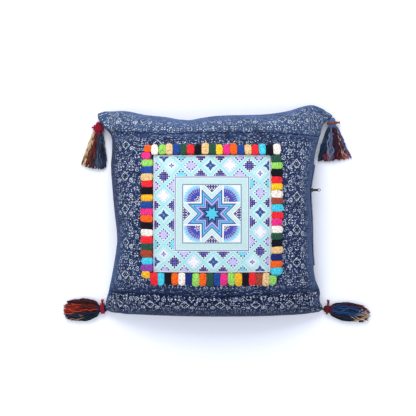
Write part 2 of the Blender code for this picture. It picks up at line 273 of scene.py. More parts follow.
class Nodes:
    """Adds nodes to one material."""

    def __init__(self, tree: bpy.types.NodeTree) -> None:
        """Take the material's node tree."""
        self.tree = tree

    def feed(self, value: Any, target: bpy.types.NodeSocket) -> None:
        """Give an input a node's first output, another socket or a plain value."""
        source = value.outputs[0] if isinstance(value, bpy.types.Node) else value
        if isinstance(source, bpy.types.NodeSocket):
            self.tree.links.new(source, target)
        else:
            target.default_value = source

    def put(self, kind: str, inputs: dict[str | int, Any] | None = None, **settings: Any) -> bpy.types.Node:
        """Add a node with its settings and links; every node comes from here.

        Args:
            kind: the node's type, after ShaderNode.
            inputs: for each input, by name or place, a node, a socket or a plain value.
            settings: the node's own settings, by name.

        Returns:
            The new node.
        """
        made = self.tree.nodes.new("ShaderNode" + kind)
        for name, value in settings.items():
            setattr(made, name, value)
        for key, value in (inputs or {}).items():
            self.feed(value, made.inputs[key])
        return made

    def number(self, operation: str, *values: Any) -> bpy.types.Node:
        """Work out a number from one or two others."""
        return self.put("Math", dict(enumerate(values)), operation=operation)

    def place(self, operation: str, *values: Any) -> bpy.types.Node:
        """Work out a place from up to three others."""
        return self.put("VectorMath", dict(enumerate(values)), operation=operation)

    def scale(self, place: Any, share: Any) -> bpy.types.Node:
        """Make a place or a colour this many times as large."""
        return self.put("VectorMath", {0: place, 3: share}, operation="SCALE")

    def turn(self, place: Any, angle: float) -> bpy.types.Node:
        """Turn a place round the upright axis."""
        return self.put("VectorRotate", {"Vector": place, "Angle": angle}, rotation_type="Z_AXIS")

    def spread(self, value: Any, low: float, high: float, bottom: float, top: float) -> bpy.types.Node:
        """Map a number: it gives bottom at low and top at high, and keeps to these past both."""
        return self.put("MapRange", {0: value, 1: low, 2: high, 3: bottom, 4: top})

    def noise(self, place: Any, scale: float, detail: float = 2.0) -> bpy.types.Node:
        """Soft noise over places."""
        return self.put("TexNoise", {"Vector": place, "Scale": scale, "Detail": detail})

    def specks(
        self, place: Any, scale: float, edge: tuple[float, float], top: float, loose: float = 1.0
    ) -> bpy.types.Node:
        """Scattered specks.

        Args:
            place: the places to scatter them over.
            scale: how close together they are.
            edge: where a speck starts and where it is full, as distances from its middle.
            top: how strong it is.
            loose: how far they stray from even rows.

        Returns:
            A node that gives each place's share of a speck.
        """
        cells = self.put("TexVoronoi", {"Vector": place, "Scale": scale, "Randomness": loose})
        return self.spread(cells.outputs["Distance"], *edge, 0.0, top)

    def mix(self, share: Any, first: Any, second: Any) -> bpy.types.NodeSocket:
        """Mix two colours by a share of the second."""
        return self.put("Mix", {"Factor": share, 6: first, 7: second}, data_type="RGBA").outputs[2]

    def stored(self, name: str, output: str = "Color") -> bpy.types.NodeSocket:
        """What the piece keeps under this name."""
        return self.put("Attribute", attribute_name=name).outputs[output]

    def own_place(self) -> bpy.types.NodeSocket:
        """The place on the piece itself, in metres."""
        return self.put("TexCoord").outputs["Object"]

    def waves(self, place: Any, scale: float, distortion: float = 0.0) -> list[bpy.types.Node]:
        """Two rows of even waves, one across the piece and one up it."""
        inputs = {"Vector": place, "Scale": scale, "Distortion": distortion}
        return [self.put("TexWave", inputs, bands_direction=way) for way in "XY"]

    def bump(self, height: Any, strength: float, distance: float, below: Any = None) -> bpy.types.Node:
        """Relief of this height, on top of coarser relief if there is any."""
        inputs = {"Strength": strength, "Distance": distance, "Height": height}
        return self.put("Bump", inputs if below is None else {**inputs, "Normal": below})


@dataclass(frozen=True)
class Finish:
    """What every finish has: its name, and how matt, fuzzy at its edges, metallic and shiny it is."""

    name: str
    roughness: float
    sheen: float = 0.0
    metallic: float = 0.0
    specular: float = 0.5

    def build(self) -> bpy.types.Material:
        """Make the material.

        Returns:
            The material, its colour and relief made by its own nodes.
        """
        material = bpy.data.materials.new(self.name)
        material.use_nodes = True
        surface = material.node_tree.nodes["Principled BSDF"]
        for name, value in (
            ("Roughness", self.roughness),
            ("Metallic", self.metallic),
            ("Specular IOR Level", self.specular),
            ("Sheen Weight", self.sheen),
            ("Sheen Roughness", 0.5),
        ):
            surface.inputs[name].default_value = value
        nodes = Nodes(material.node_tree)
        colour, relief = self.dress(nodes)
        nodes.feed(colour, surface.inputs["Base Color"])
        nodes.feed(relief, surface.inputs["Normal"])
        return material

    def dress(self, nodes: Nodes) -> tuple[Any, Any]:
        """Make the finish's colour and relief; each finish has its own way."""
        raise NotImplementedError


class Motif(Enum):
    """The kinds of mark in the printed cloth's repeat."""

    DOT = "a round spot"
    EYE = "a spot in a ring"
    CURL = "a small ring round a spot"
    CROSS = "four slanting dashes round a dark middle"
    LOZENGE = "an outlined diamond"


@dataclass(frozen=True)
class Mark:
    """One mark of the repeat, in mm from the diamond's middle; its mirror image comes with it."""

    motif: Motif
    x: float
    y: float
    size: float


# Each motif's rings from its middle outwards: hundredths of twice its size, and the grey of the dye there
RINGS = {
    Motif.DOT: ((0, "ff"), (30, "ff"), (42, "10"), (62, "10"), (80, "80")),
    Motif.EYE: (
        (0, "ff"), (12, "ff"), (19, "10"), (26, "10"),
        (33, "f0"), (43, "f0"), (50, "20"), (62, "80"),
    ),
    Motif.CURL: (
        (0, "e0"), (10, "e0"), (17, "10"), (28, "10"),
        (36, "e8"), (44, "e8"), (52, "30"), (62, "80"),
    ),
    Motif.CROSS: ((0, "ff"), (34, "ff"), (50, "20"), (66, "20"), (86, "80")),
    Motif.LOZENGE: (
        (0, "30"), (36, "20"), (40, "f4"), (48, "f4"),
        (51, "18"), (60, "18"), (63, "b0"), (67, "80"),
    ),
}

# Where each motif stands in the repeat, and its size, in mm
SPOTS = {
    Motif.LOZENGE: ((0, 0, 10.4),),
    Motif.EYE: ((15.2, -7.4, 4.9),),
    Motif.CURL: ((14.8, 26.4, 4.8), (28.4, 12.4, 4.6)),
    Motif.CROSS: (
        (14.4, 15.6, 5.6), (5.6, -27.0, 3.4), (22.4, 2.2, 3.2),
        (26.6, -24.0, 4.6), (31.2, -10.8, 3.0),
    ),
    Motif.DOT: (
        (0, 4.6, 1.3), (3.2, -0.4, 1.1), (0, -4.8, 1.2), (2.9, 25.4, 1.8), (6.0, 19.6, 1.2),
        (9.4, -17.6, 1.4), (14.6, -19.4, 1.5), (0, -17.0, 1.2), (22.6, -12.6, 1.6),
        (33.2, -1.8, 1.8), (33.0, 27.0, 1.6), (22.8, 22.4, 1.5), (16.6, -30.2, 1.6),
    ),
}


@dataclass(frozen=True)
class PrintedCotton(Finish):
    """Indigo cotton with a pale hand-printed repeat, matt and a little worn.

    The ground is a mid indigo that darkens round each mark, as resist-dyed cloth does.
    """

    deep: str = "#090f22"
    pale: str = "#e2ecfc"
    # the colour of the painted seam shadow, a dark line drawn along each seam
    thread: str = "#141c38"
    repeat: tuple[float, float] = (70.0, 64.5)
    origin: tuple[float, float] = (165.0, 101.0)
    sway: float = 3.4

    def distance(self, nodes: Nodes, place: Any, mark: Mark) -> bpy.types.Node:
        """How far a place of the folded repeat is from a mark's middle.

        Args:
            nodes: the material's nodes.
            place: the place in the folded repeat, in mm.
            mark: the mark.

        Returns:
            A node whose value is 1 at the mark's own size.
        """
        away = nodes.place("SUBTRACT", place, (mark.x, mark.y, 0))
        size, measure = mark.size, ("LENGTH",)
        if mark.motif is Motif.CROSS:
            reach = size * 0.62
            dash = nodes.place("SUBTRACT", nodes.place("ABSOLUTE", away), (reach, reach * 0.84, 0))
            away = nodes.place("MULTIPLY", nodes.turn(dash, math.radians(38)), (0.5, 1.35, 1))
            size *= 0.30
        if mark.motif is Motif.LOZENGE:
            away = nodes.place("ABSOLUTE", away)
            measure = ("DOT_PRODUCT", (1, 1, 0))
        length = nodes.place(measure[0], away, *measure[1:])
        return nodes.number("DIVIDE", length.outputs["Value"], size)

    def shade(self, nodes: Nodes, place: Any, mark: Mark) -> bpy.types.Node:
        """The dye round and in one mark: 0 is deep, a half is the ground and 1 is pale.

        Args:
            nodes: the material's nodes.
            place: the place in the folded repeat, in mm.
            mark: the mark.

        Returns:
            The ramp node that gives the dye.
        """
        share = nodes.number("MULTIPLY", self.distance(nodes, place, mark), 0.5)
        made = nodes.put("ValToRGB", {0: share})
        ramp = made.color_ramp.elements
        for index, (hundredths, grey) in enumerate(RINGS[mark.motif]):
            stop = ramp[index] if index < 2 else ramp.new(hundredths / 100)
            stop.position = hundredths / 100
            stop.color = linear("#" + 3 * grey)
        return made

    def folded(self, nodes: Nodes, swayed: Any) -> bpy.types.Node:
        """The place within one repeat, its left half folded over its right."""
        moved = nodes.place("SUBTRACT", swayed, (*self.origin, 0))
        half = (self.repeat[0] / 2, self.repeat[1] / 2, 1.0)
        wrapped = nodes.place("WRAP", moved, half, tuple(-one for one in half))
        parts = nodes.put("SeparateXYZ", {0: wrapped})
        right = nodes.number("ABSOLUTE", parts.outputs["X"])
        return nodes.put("CombineXYZ", {0: right, 1: parts.outputs["Y"]})

    def dress(self, nodes: Nodes) -> tuple[Any, Any]:
        """Mix the ground, its speckle, the marks and a painted shadow along the seams, and raise the weave.
        """
        seam = nodes.put("SeparateXYZ", {0: nodes.stored("seams", "Vector")})
        in_mm = nodes.scale(nodes.stored("cloth_place", "Vector"), 1000.0)
        waver = nodes.place("SUBTRACT", nodes.noise(in_mm, 0.11).outputs["Color"], (0.5, 0.5, 0.5))
        swayed = nodes.place("MULTIPLY_ADD", waver, (self.sway, self.sway, 0), in_mm)
        place = self.folded(nodes, swayed)
        marks = [Mark(motif, *spot) for motif, spots in SPOTS.items() for spot in spots]
        dyes = [self.shade(nodes, place, mark) for mark in marks]
        pale = reduce(lambda one, other: nodes.number("MAXIMUM", one, other), dyes)
        deep = reduce(lambda one, other: nodes.number("MINIMUM", one, other), dyes)
        faded = nodes.spread(seam.outputs["Z"], 0.15, 0.80, 1.0, 0.16)
        mask = self.mask(nodes, swayed, seam.outputs["X"], pale, deep)
        wear = nodes.spread(nodes.noise(in_mm, 0.42), 0.40, 0.62, 0.12, 1.0)
        mask = nodes.number("MULTIPLY", mask, nodes.number("MULTIPLY", wear, faded))
        cloudy = nodes.spread(nodes.noise(in_mm, 0.03, 4.0), 0.3, 0.7, 0.0, 0.45)
        # The stored ground carries painted light and shade: a lighter top band, a darker bottom band, and
        # sides lighter and darker by which way they face
        ground = nodes.mix(cloudy, nodes.stored("ground_and_painted_light"), linear(self.deep))
        halo = nodes.number("MULTIPLY", nodes.spread(deep, 0.20, 0.02, 0.0, 0.8), faded)
        printed = nodes.mix(mask, nodes.mix(halo, ground, linear(self.deep)), linear(self.pale))
        nearest = nodes.number("MINIMUM", seam.outputs["X"], seam.outputs["Y"])
        # Painted seam shadow: a dark line along the face seams and the rim seam, where the pressed-in seams
        # are in shade
        seam_shadow = nodes.spread(nearest, 0.0006, 0.0019, 0.88, 0.0)
        # Threads 0.5 mm apart can't show at this size, so they are drawn 1.3 mm apart
        weave = nodes.number("ADD", *nodes.waves(in_mm, 0.242, 0.6))
        rumpled = nodes.bump(nodes.noise(in_mm, 0.05, 3.0), 0.35, 0.004)
        return nodes.mix(seam_shadow, printed, linear(self.thread)), nodes.bump(weave, 0.25, 0.0004, rumpled)

    def mask(self, nodes: Nodes, swayed: Any, seam: Any, pale: Any, deep: Any) -> bpy.types.Node:
        """Where the cloth is pale: in the marks, in specks between them and in dashes along the seams.

        Args:
            nodes: the material's nodes.
            swayed: the cloth's own places in mm, a little wavy.
            seam: how far a place is from the face seams.
            pale: the palest dye of all the marks at a place.
            deep: the deepest dye of all the marks at a place.

        Returns:
            A node whose value is 1 where the cloth is fully pale.
        """
        speck = nodes.specks(swayed, 0.19, (0.32, 0.18), 0.9)
        crumb = nodes.specks(swayed, 0.34, (0.30, 0.18), 0.6)
        dash = nodes.specks(nodes.place("MULTIPLY", swayed, (0.13, 0.50, 1)), 1.0, (0.36, 0.24), 0.75, 0.9)
        by_seam = nodes.spread(seam, 0.017, 0.010, 0.0, 1.0)
        between = nodes.spread(deep, 0.05, 0.21, 0.35, 1.0)
        spotted = nodes.number("MULTIPLY", nodes.number("MAXIMUM", speck, crumb), between)
        printed = nodes.number("MAXIMUM", nodes.spread(pale, 0.35, 0.80, 0.0, 1.0), spotted)
        kept = nodes.number("MULTIPLY", printed, nodes.number("SUBTRACT", 1.0, by_seam))
        return nodes.number("MAXIMUM", kept, nodes.number("MULTIPLY", dash, by_seam))


@dataclass(frozen=True)
class CrossStitch(Finish):
    """Counted stitches on pale cotton: flecked thread with a soft gleam, on cloth that swells a little."""

    swell: float = 11.938 * MM

    def dress(self, nodes: Nodes) -> tuple[Any, Any]:
        """Take the colour that each stitch was given, fleck it, and raise the cloth's soft swells."""
        place = nodes.own_place()
        light = nodes.spread(nodes.noise(place, 700.0), 0.3, 0.7, 0.66, 0.84)
        swells = nodes.number("MULTIPLY", *nodes.waves(place, 0.1 * math.pi / self.swell))
        return nodes.scale(nodes.stored("thread"), light), nodes.bump(swells, 0.35, 0.0006)


@dataclass(frozen=True)
class DyedYarn(Finish):
    """Spun yarn whose dye is stored on the piece: fuzzy, matt, with lighter and darker fibres."""

    fibre: float = 900.0
    stretch: tuple[float, float, float] = (1.0, 1.0, 1.0)
    heading: float = 0.0
    relief: float = 0.0008
    darkest: float = 0.62
    lightest: float = 1.18

    def dress(self, nodes: Nodes) -> tuple[Any, Any]:
        """Streak the stored dye along the fibres, and raise them."""
        turned = nodes.turn(nodes.own_place(), -math.radians(self.heading))
        fibres = nodes.noise(nodes.place("MULTIPLY", turned, self.stretch), self.fibre, 3.0)
        light = nodes.spread(fibres, 0.3, 0.7, self.darkest, self.lightest)
        return nodes.scale(nodes.stored("dye"), light), nodes.bump(fibres, 0.6, self.relief)


@dataclass(frozen=True)
class PlainFinish(Finish):
    """A hard or woven finish of one colour, with fine grain in its colour and relief."""

    colour: str = "#808080"
    grain: float = 1500.0
    relief: float = 0.00005
    depth: float = 0.28

    def dress(self, nodes: Nodes) -> tuple[Any, Any]:
        """Vary the colour a little and raise the grain."""
        grains = nodes.noise(nodes.own_place(), self.grain)
        full = linear(self.colour)
        darker = tuple((1 - self.depth) * one for one in full[:3]) + (1.0,)
        return nodes.mix(grains, darker, full), nodes.bump(grains, 0.4, self.relief)


# The filled cover


class Skin:
    """The outside of a finished piece, for laying other pieces on it."""

    def __init__(self, piece: bpy.types.Object) -> None:
        """Take the piece's faces as they are now."""
        shape = bmesh.new()
        shape.from_mesh(piece.data)
        self.tree = BVHTree.FromBMesh(shape)
        shape.free()

    def top(self, x: float, y: float) -> float | None:
        """How high the skin is over a place, or None beside it."""
        spot = self.tree.ray_cast(Vector((x, y, 1.0)), Vector((0, 0, -1)))[0]
        return spot.z if spot else None

    def under(self, x: float, y: float) -> float | None:
        """How high the skin's underside is at a place, or None beside it."""
        spot = self.tree.ray_cast(Vector((x, y, -1.0)), Vector((0, 0, 1)))[0]
        return spot.z if spot else None

    def nearest(self, place: Vector) -> tuple[Vector, Vector]:
        """The skin's nearest place and its normal."""
        spot, normal, _, _ = self.tree.find_nearest(place)
        return spot, normal


@dataclass
class ClothChart:
    """Lengths along the cloth from its middle, so that a print isn't stretched where it turns down."""

    skin: Skin
    face: bool
    step: float = 4 * MM
    reach: float = 260 * MM
    least_drop: float = 1.5 * MM
    count: int = field(init=False)
    heights: np.ndarray = field(init=False)
    across: np.ndarray = field(init=False)
    up: np.ndarray = field(init=False)

    def __post_init__(self) -> None:
        """Measure the skin's height on a grid, then add up the lengths both ways."""
        self.count = int(round(2 * self.reach / self.step)) + 1
        look = self.skin.top if self.face else self.skin.under
        places = [self.step * index - self.reach for index in range(self.count)]
        grid = [[look(x, y) for x in places] for y in places]
        self.heights = self.spread(np.array(grid, dtype=float))
        self.across = self.lengths(self.heights)
        self.up = self.lengths(self.heights.T).T

    def spread(self, grid: np.ndarray) -> np.ndarray:
        """Give the places beside the cushion the height of the last place on it."""
        middle = self.count // 2
        filled = grid.copy()
        for _ in range(2):
            for line in filled:
                for index in range(middle + 1, self.count):
                    if np.isnan(line[index]):
                        line[index] = line[index - 1]
                for index in range(middle - 1, -1, -1):
                    if np.isnan(line[index]):
                        line[index] = line[index + 1]
            filled = filled.T
        return np.nan_to_num(filled, nan=0.04)

    def lengths(self, grid: np.ndarray) -> np.ndarray:
        """Lengths along each row, from its middle."""
        steps = np.hypot(self.step, np.diff(grid, axis=1))
        run = np.concatenate([np.zeros((self.count, 1)), np.cumsum(steps, axis=1)], axis=1)
        return run - run[:, self.count // 2][:, None]

    def read(self, table: np.ndarray, places: np.ndarray) -> np.ndarray:
        """Read a table between its grid's points.

        Args:
            table: one of the chart's tables.
            places: points, one row each.

        Returns:
            The table's value over each point.
        """
        spot = np.clip((places[:, :2] + self.reach) / self.step, 0, self.count - 1.001)
        low = spot.astype(int)
        share = spot - low
        column, row = low[:, 0], low[:, 1]
        first = table[row, column] * (1 - share[:, 0]) + table[row, column + 1] * share[:, 0]
        second = table[row + 1, column] * (1 - share[:, 0]) + table[row + 1, column + 1] * share[:, 0]
        return first * (1 - share[:, 1]) + second * share[:, 1]

    def lay_flat(self, places: np.ndarray, normals: np.ndarray) -> np.ndarray:
        """Where points of the cover lie on the flat cloth.

        Args:
            places: the cover's points.
            normals: their normals.

        Returns:
            Two lengths for each point, in metres from the cloth's middle.
        """
        drop = np.abs(self.read(self.heights, places) - places[:, 2])
        drop = np.where(drop > self.least_drop, drop, 0.0)
        sideways = np.abs(normals[:, 0]) + 1e-6
        endways = np.abs(normals[:, 1]) + 1e-6
        total = sideways + endways
        flat_x = self.read(self.across, places) + np.sign(places[:, 0]) * drop * sideways / total
        flat_y = self.read(self.up, places) + np.sign(places[:, 1]) * drop * endways / total
        return np.stack([flat_x, flat_y], axis=1)


@dataclass
class Cover:
    """The filled, printed cover with its two face seams, its rim seam and its drawn-in corners.

    The tables are in mm. The seams are points along each, the creases are a start, an end, a depth
    and a width, and the plumps are a middle, a width and how far they push right and up. The shifts
    say where each band's piece of cloth was cut from the print. The cloth is held fast for ear_held
    round each ear and is free after another ear_free.
    """

    voxel: float = 5 * MM
    shrink: float = 2.5 * MM
    cap: float = 5 * MM
    pressure: float = 4.0
    frames: int = 20
    sideways: float = 0.15
    seam_top: tuple[tuple[float, float], ...] = (
        (-205, 165.8), (-188, 165.3), (-150, 164.0), (-120, 160.5), (-96, 158.4), (-75, 159.0),
        (-54, 160.0), (-31, 161.4), (84, 161.8), (163, 160.0), (209, 157.0),
    )
    seam_bottom: tuple[tuple[float, float], ...] = (
        (-201, -152.8), (-108, -153.0), (-54, -155.7), (0, -157.7),
        (85, -154.9), (163, -152.2), (205, -151.0),
    )
    creases: tuple[tuple[float, float, float, float, float, float], ...] = (
        (208, -150, 178, -176, 2.4, 4.0),
        (228, 210, 206, 176, 1.5, 3.5),
        (-214, 190, -192, 160, 1.1, 3.5),
        (-200, -168, -176, -190, 1.0, 4.0),
        (150, 190, 190, 168, 0.8, 5.0),
    )
    ears: tuple[tuple[float, float], ...] = ((-225, 198), (232, 199), (-211, -205), (216, -205))
    ear_held: float = 18 * MM
    ear_free: float = 50 * MM
    ear_pull: float = 20
    fold_from: float = 1.04
    plumps: tuple[tuple[float, float, float, float, float], ...] = (
        (202, 214, 26, 2.0, 6.5),
        (-190, 208, 40, 0.0, 4.0),
        (-228, 206, 14, -4.0, 1.0),
        (207, -153, 15, 5.0, 0.0),
    )
    half_width: float = 205 * MM
    half_height: float = 202 * MM
    left_edge: float = -60 * MM
    beyond_seam: float = 20 * MM
    shift_left: tuple[float, float] = (-4.0 * MM, 24.7 * MM)
    shift_top: tuple[float, float] = (29.3 * MM, -37.0 * MM)
    shift_bottom: tuple[float, float] = (13.0 * MM, 27.0 * MM)
    # The cloth's ground in each part: the middle is its own dye, the top band is lighter partly as faded
    # cloth and partly as painted light from above, the bottom band is darker as painted shade, and the sides
    # are painted light and shade by which way they face
    grounds_and_painted_light: dict[str, str] = field(
        default_factory=lambda: {
            "middle": "#1b2e52",
            "top band": "#3b4f71",
            "bottom band": "#04153a",
            "top side": "#4e6590",
            "bottom side": "#24334f",
            "right side": "#3a5076",
            "left side, high": "#1a2441",
            "left side, low": "#36507a",
        }
    )
    piece: bpy.types.Object = field(init=False)
    skin: Skin = field(init=False)

    def build(self) -> None:
        """Fill, sew, chart and dress the cover."""
        self.piece = self.copy_solid()
        apply_modifier(self.piece, "REMESH", mode="VOXEL", voxel_size=self.voxel)
        self.fill()
        apply_modifier(self.piece, "SUBSURF", levels=1, render_levels=1)
        self.pull_ears()
        self.sew()
        self.skin = Skin(self.piece)
        self.chart()
        self.draw_to_zip()
        cotton = PrintedCotton("printed_indigo_cotton", 0.92, sheen=0.03, specular=0.12)
        put_on(self.piece, cotton.build())
        smooth(self.piece)
        ride_and_report(self.piece, "printed_cotton", "cushion")

    def copy_solid(self) -> bpy.types.Object:
        """A closed copy of the cushion's CAD solid, its loose triangles merged."""
        piece = copy_node("cushion", "cushion_cover")
        shape = bmesh.new()
        shape.from_mesh(piece.data)
        bmesh.ops.remove_doubles(shape, verts=shape.verts, dist=0.01 * MM)
        shape.to_mesh(piece.data)
        shape.free()
        return piece

    def freedom(self, places: np.ndarray) -> np.ndarray:
        """How freely each point may move: not at all at the ears, where the tassels are tied."""
        away = [away_from(places, x, y) for x, y in self.ears]
        return np.clip((np.min(away, axis=0) - self.ear_held) / self.ear_free, 0, 1)

    def fill(self) -> None:
        """Blow the cover up from a slightly smaller shape, and cap how far it moves."""
        before = points_of(self.piece)
        free = self.freedom(before)[:, None]
        start = before - points_of(self.piece, "normal") * self.shrink * free
        start[:, 2] = np.maximum(start[:, 2], np.minimum(before[:, 2], 0.3 * MM))
        move_points(self.piece, start)
        cloth = self.piece.modifiers.new("fill", "CLOTH")
        cloth.settings.quality = 5
        cloth.settings.mass = 0.3
        cloth.settings.use_pressure = True
        cloth.settings.uniform_pressure_force = self.pressure
        cloth.settings.effector_weights.gravity = 0
        cloth.collision_settings.use_collision = False
        cloth.point_cache.frame_end = self.frames
        for number in range(1, self.frames + 1):
            bpy.context.scene.frame_set(number)
        step = points_of(self.piece.evaluated_get(bpy.context.evaluated_depsgraph_get())) - before
        self.piece.modifiers.remove(cloth)
        bpy.context.scene.frame_set(1)
        length = np.linalg.norm(step, axis=1, keepdims=True) + 1e-9
        step *= np.minimum(1.0, self.cap * free / length)
        # Pressure alone would draw the sides in past the outline, so most of their own move is left out
        step[:, :2] *= self.sideways
        filled = before + step
        filled[:, 2] = np.maximum(filled[:, 2], 0.0)
        log.info("the filling moves the cover %.1f mm on average", 1000 * float(length.mean()))
        move_points(self.piece, filled)

    def pull_ears(self) -> None:
        """Pull each ear back out to its tip by the tassel, which the remesh has rounded off."""
        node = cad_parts["cushion"]
        solid = np.array([tuple(node.matrix_world @ point.co) for point in node.data.vertices])
        places = points_of(self.piece)
        for tassel in TASSELS:
            root = np.array([tassel.x * MM, tassel.y * MM, tassel.neck_height])
            nearest = solid[np.argmin(np.linalg.norm(solid - root, axis=1))]
            outward = (math.copysign(1, root[0]), math.copysign(1, root[1]), 0.0)
            farthest_out = solid[np.argmax(solid @ outward)]
            for goal in (nearest, farthest_out):
                short = goal - places[np.argmin(np.linalg.norm(places - goal, axis=1))]
                length = float(np.linalg.norm(short))
                log.info("%s: the ear is %.1f mm short", tassel.name, 1000 * length)
                away = np.linalg.norm(places - goal, axis=1) - length
                places += bell(np.maximum(away, 0), self.ear_pull)[:, None] * short
        for x, y, wide, right, up in self.plumps:
            places[:, :2] += bell(away_from(places, x, y), wide)[:, None] * np.array([right, up]) * MM
        places[:, 2] = np.maximum(places[:, 2], 0.0)
        move_points(self.piece, places)

    def seam_line(self, rows: tuple[tuple[float, float], ...], x: np.ndarray) -> np.ndarray:
        """Where a face seam runs over these places across."""
        table = np.array(rows) * MM
        return np.interp(x, table[:, 0], table[:, 1])

    def rim_height(self, places: np.ndarray) -> np.ndarray:
        """How high the rim's seam runs at these points: lowest at the corners."""
        u = np.clip(places[:, 0] / self.half_width, -1, 1)
        v = np.clip(places[:, 1] / self.half_height, -1, 1)
        return (45 - 34 * (u * v) ** 2) * MM

    def sew(self) -> None:
        """Press in the seams, gather the cloth along them and fold it towards the ears."""
        places = points_of(self.piece)
        normals = points_of(self.piece, "normal")
        face = np.clip(normals[:, 2] * 2.0, 0, 1)
        x, y = places[:, 0] / MM, places[:, 1] / MM
        move = np.zeros(len(places))
        for rows, phase in ((self.seam_top, 0.4), (self.seam_bottom, 1.9)):
            away = np.abs(places[:, 1] - self.seam_line(rows, places[:, 0]))
            gather = np.sin(x / 5.3 + 2.2 * np.sin(x / 31 + phase))
            pucker = 0.45 * gather * bell(away, 11) * np.clip(away / (3 * MM), 0, 1)
            move += (pucker - 1.7 * bell(away, 3.2)) * face
        for x_ear, y_ear in self.ears:
            x_from, y_from = x_ear * self.fold_from, y_ear * self.fold_from
            away = away_from(places, x_from, y_from)
            fold = np.sin(17 * np.arctan2(y - y_from, x - x_from) + x_ear) * bell(away, 62)
            move += 1.1 * fold * np.clip((away - 12 * MM) / (22 * MM), 0, 1) * face
        move += 0.45 * np.sin(x / 21 + 1.7 * np.sin(y / 33)) * np.sin(y / 26 + 1.3 * np.sin(x / 29)) * face
        for crease in self.creases:
            move -= self.fold_at(crease, places) * face
        rim = np.abs(places[:, 2] - self.rim_height(places))
        upright = np.clip(1.15 - np.abs(normals[:, 2]), 0, 1)
        move -= bell(rim, 2.6) * upright * self.freedom(places)
        moved = places + normals * (move * MM)[:, None]
        moved[:, 2] = np.where(places[:, 2] < 0.8 * MM, places[:, 2], np.maximum(moved[:, 2], 0.0))
        self.clear_zip(moved)
        move_points(self.piece, moved)

    def fold_at(self, crease: tuple[float, ...], places: np.ndarray) -> np.ndarray:
        """How deep a crease is at each point, with the cloth raised a little on its far side.

        Args:
            crease: the crease's start, end, depth and width, in mm.
            places: the cover's points.

        Returns:
            The depth at each point, in mm.
        """
        start, end = np.array(crease[:2]) * MM, np.array(crease[2:4]) * MM
        depth, wide = crease[4:]
        run = end - start
        share = np.clip(((places[:, :2] - start) @ run) / (run @ run), 0, 1)
        away = np.linalg.norm(places[:, :2] - start - share[:, None] * run, axis=1)
        fold = bell(away, wide) - 0.45 * bell(away - 2 * wide * MM, wide)
        return depth * fold * np.sin(math.pi * np.clip(share * 0.9 + 0.08, 0, 1))

    def tape_limit(self, places: np.ndarray) -> np.ndarray:
        """How far out the cover may reach beside the zip's tape, at each point's y."""
        inner = {y: x for x, y in sorted(((x, y) for x, y, _ in tape_points()), reverse=True)}
        line = sorted(inner.items())
        return np.interp(places[:, 1], *zip(*line)) - 0.4 * MM

    def draw_to_zip(self) -> None:
        """Draw the side out to the zip's tape, so that no floor shows between the two."""
        places = points_of(self.piece)
        low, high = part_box("zip_tape")
        level = bell(places[:, 2] - (low[2] + high[2]) / 2, 9)
        past_ends = np.maximum(low[1] - places[:, 1], places[:, 1] - high[1])
        share = level * np.clip(1 - past_ends / (5 * MM), 0, 1)
        short = self.tape_limit(places) - places[:, 0]
        places[:, 0] += np.where((short > 0) & (short < 8 * MM), short * share, 0.0)
        move_points(self.piece, places)

    def clear_zip(self, places: np.ndarray) -> None:
        """Hold the side inside the zip's tape."""
        low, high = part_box("zip_tape")
        near = (places[:, 0] > 0) & (places[:, 1] > low[1] - 2 * MM) & (places[:, 1] < high[1] + 2 * MM)
        near &= (places[:, 2] > low[2] - 3 * MM) & (places[:, 2] < high[2] + 3 * MM)
        held = np.minimum(places[:, 0], self.tape_limit(places))
        places[:, 0] = np.where(near, held, places[:, 0])

    def chart(self) -> None:
        """Store each corner's place on the flat cloth, and each point's distance from the seams."""
        mesh = self.piece.data
        places = points_of(self.piece)
        normals = points_of(self.piece, "normal")
        flat = np.where(
            (places[:, 2] > self.rim_height(places))[:, None],
            ClothChart(self.skin, True).lay_flat(places, normals),
            ClothChart(self.skin, False).lay_flat(places, normals) + np.array([0.5, 0.4]),
        )
        corner_points = np.empty(len(mesh.loops), dtype=int)
        mesh.loops.foreach_get("vertex_index", corner_points)
        middles = np.empty(3 * len(mesh.polygons))
        mesh.polygons.foreach_get("center", middles)
        across, up = middles.reshape(-1, 3)[:, :2].T
        sizes = np.empty(len(mesh.polygons), dtype=int)
        mesh.polygons.foreach_get("loop_total", sizes)
        shift = np.zeros((len(mesh.polygons), 2))
        shift[across < self.left_edge] = self.shift_left
        shift[up > self.seam_line(self.seam_top, across)] = self.shift_top
        shift[up < self.seam_line(self.seam_bottom, across)] = self.shift_bottom
        cloth = np.zeros((len(mesh.loops), 3))
        cloth[:, :2] = flat[corner_points] + np.repeat(shift, sizes, axis=0)
        store(self.piece, "cloth_place", cloth, "CORNER")
        store(self.piece, "seams", self.seam_distances(places, normals))
        self.dye(places, normals)

    def seam_distances(self, places: np.ndarray, normals: np.ndarray) -> np.ndarray:
        """How far each point is from the seams, and how far it is turned to the side.

        Args:
            places: the cover's points.
            normals: their normals.

        Returns:
            For each point its distance from the face seams, its distance from the rim's seam, each
            with a length added where that seam's shadow has no place, and its turn from 0 to 1.
        """
        upright = np.abs(normals[:, 2])
        above = places[:, 1] - self.seam_line(self.seam_top, places[:, 0])
        below = self.seam_line(self.seam_bottom, places[:, 0]) - places[:, 1]
        face_seam = np.minimum(np.abs(above), np.abs(below))
        face_seam += np.where(np.maximum(above, below) > 3 * MM, self.beyond_seam, 0)
        face_seam += np.where(normals[:, 2] > -0.1, 0, 1)
        rim_seam = np.abs(places[:, 2] - self.rim_height(places)) + np.where(upright < 0.9, 0, 1)
        return np.stack([face_seam, rim_seam, self.turned(normals)], axis=1)

    def turned(self, normals: np.ndarray) -> np.ndarray:
        """How far each point is turned to the side, from 0 to 1."""
        return np.clip((0.78 - np.abs(normals[:, 2])) / 0.33, 0, 1)

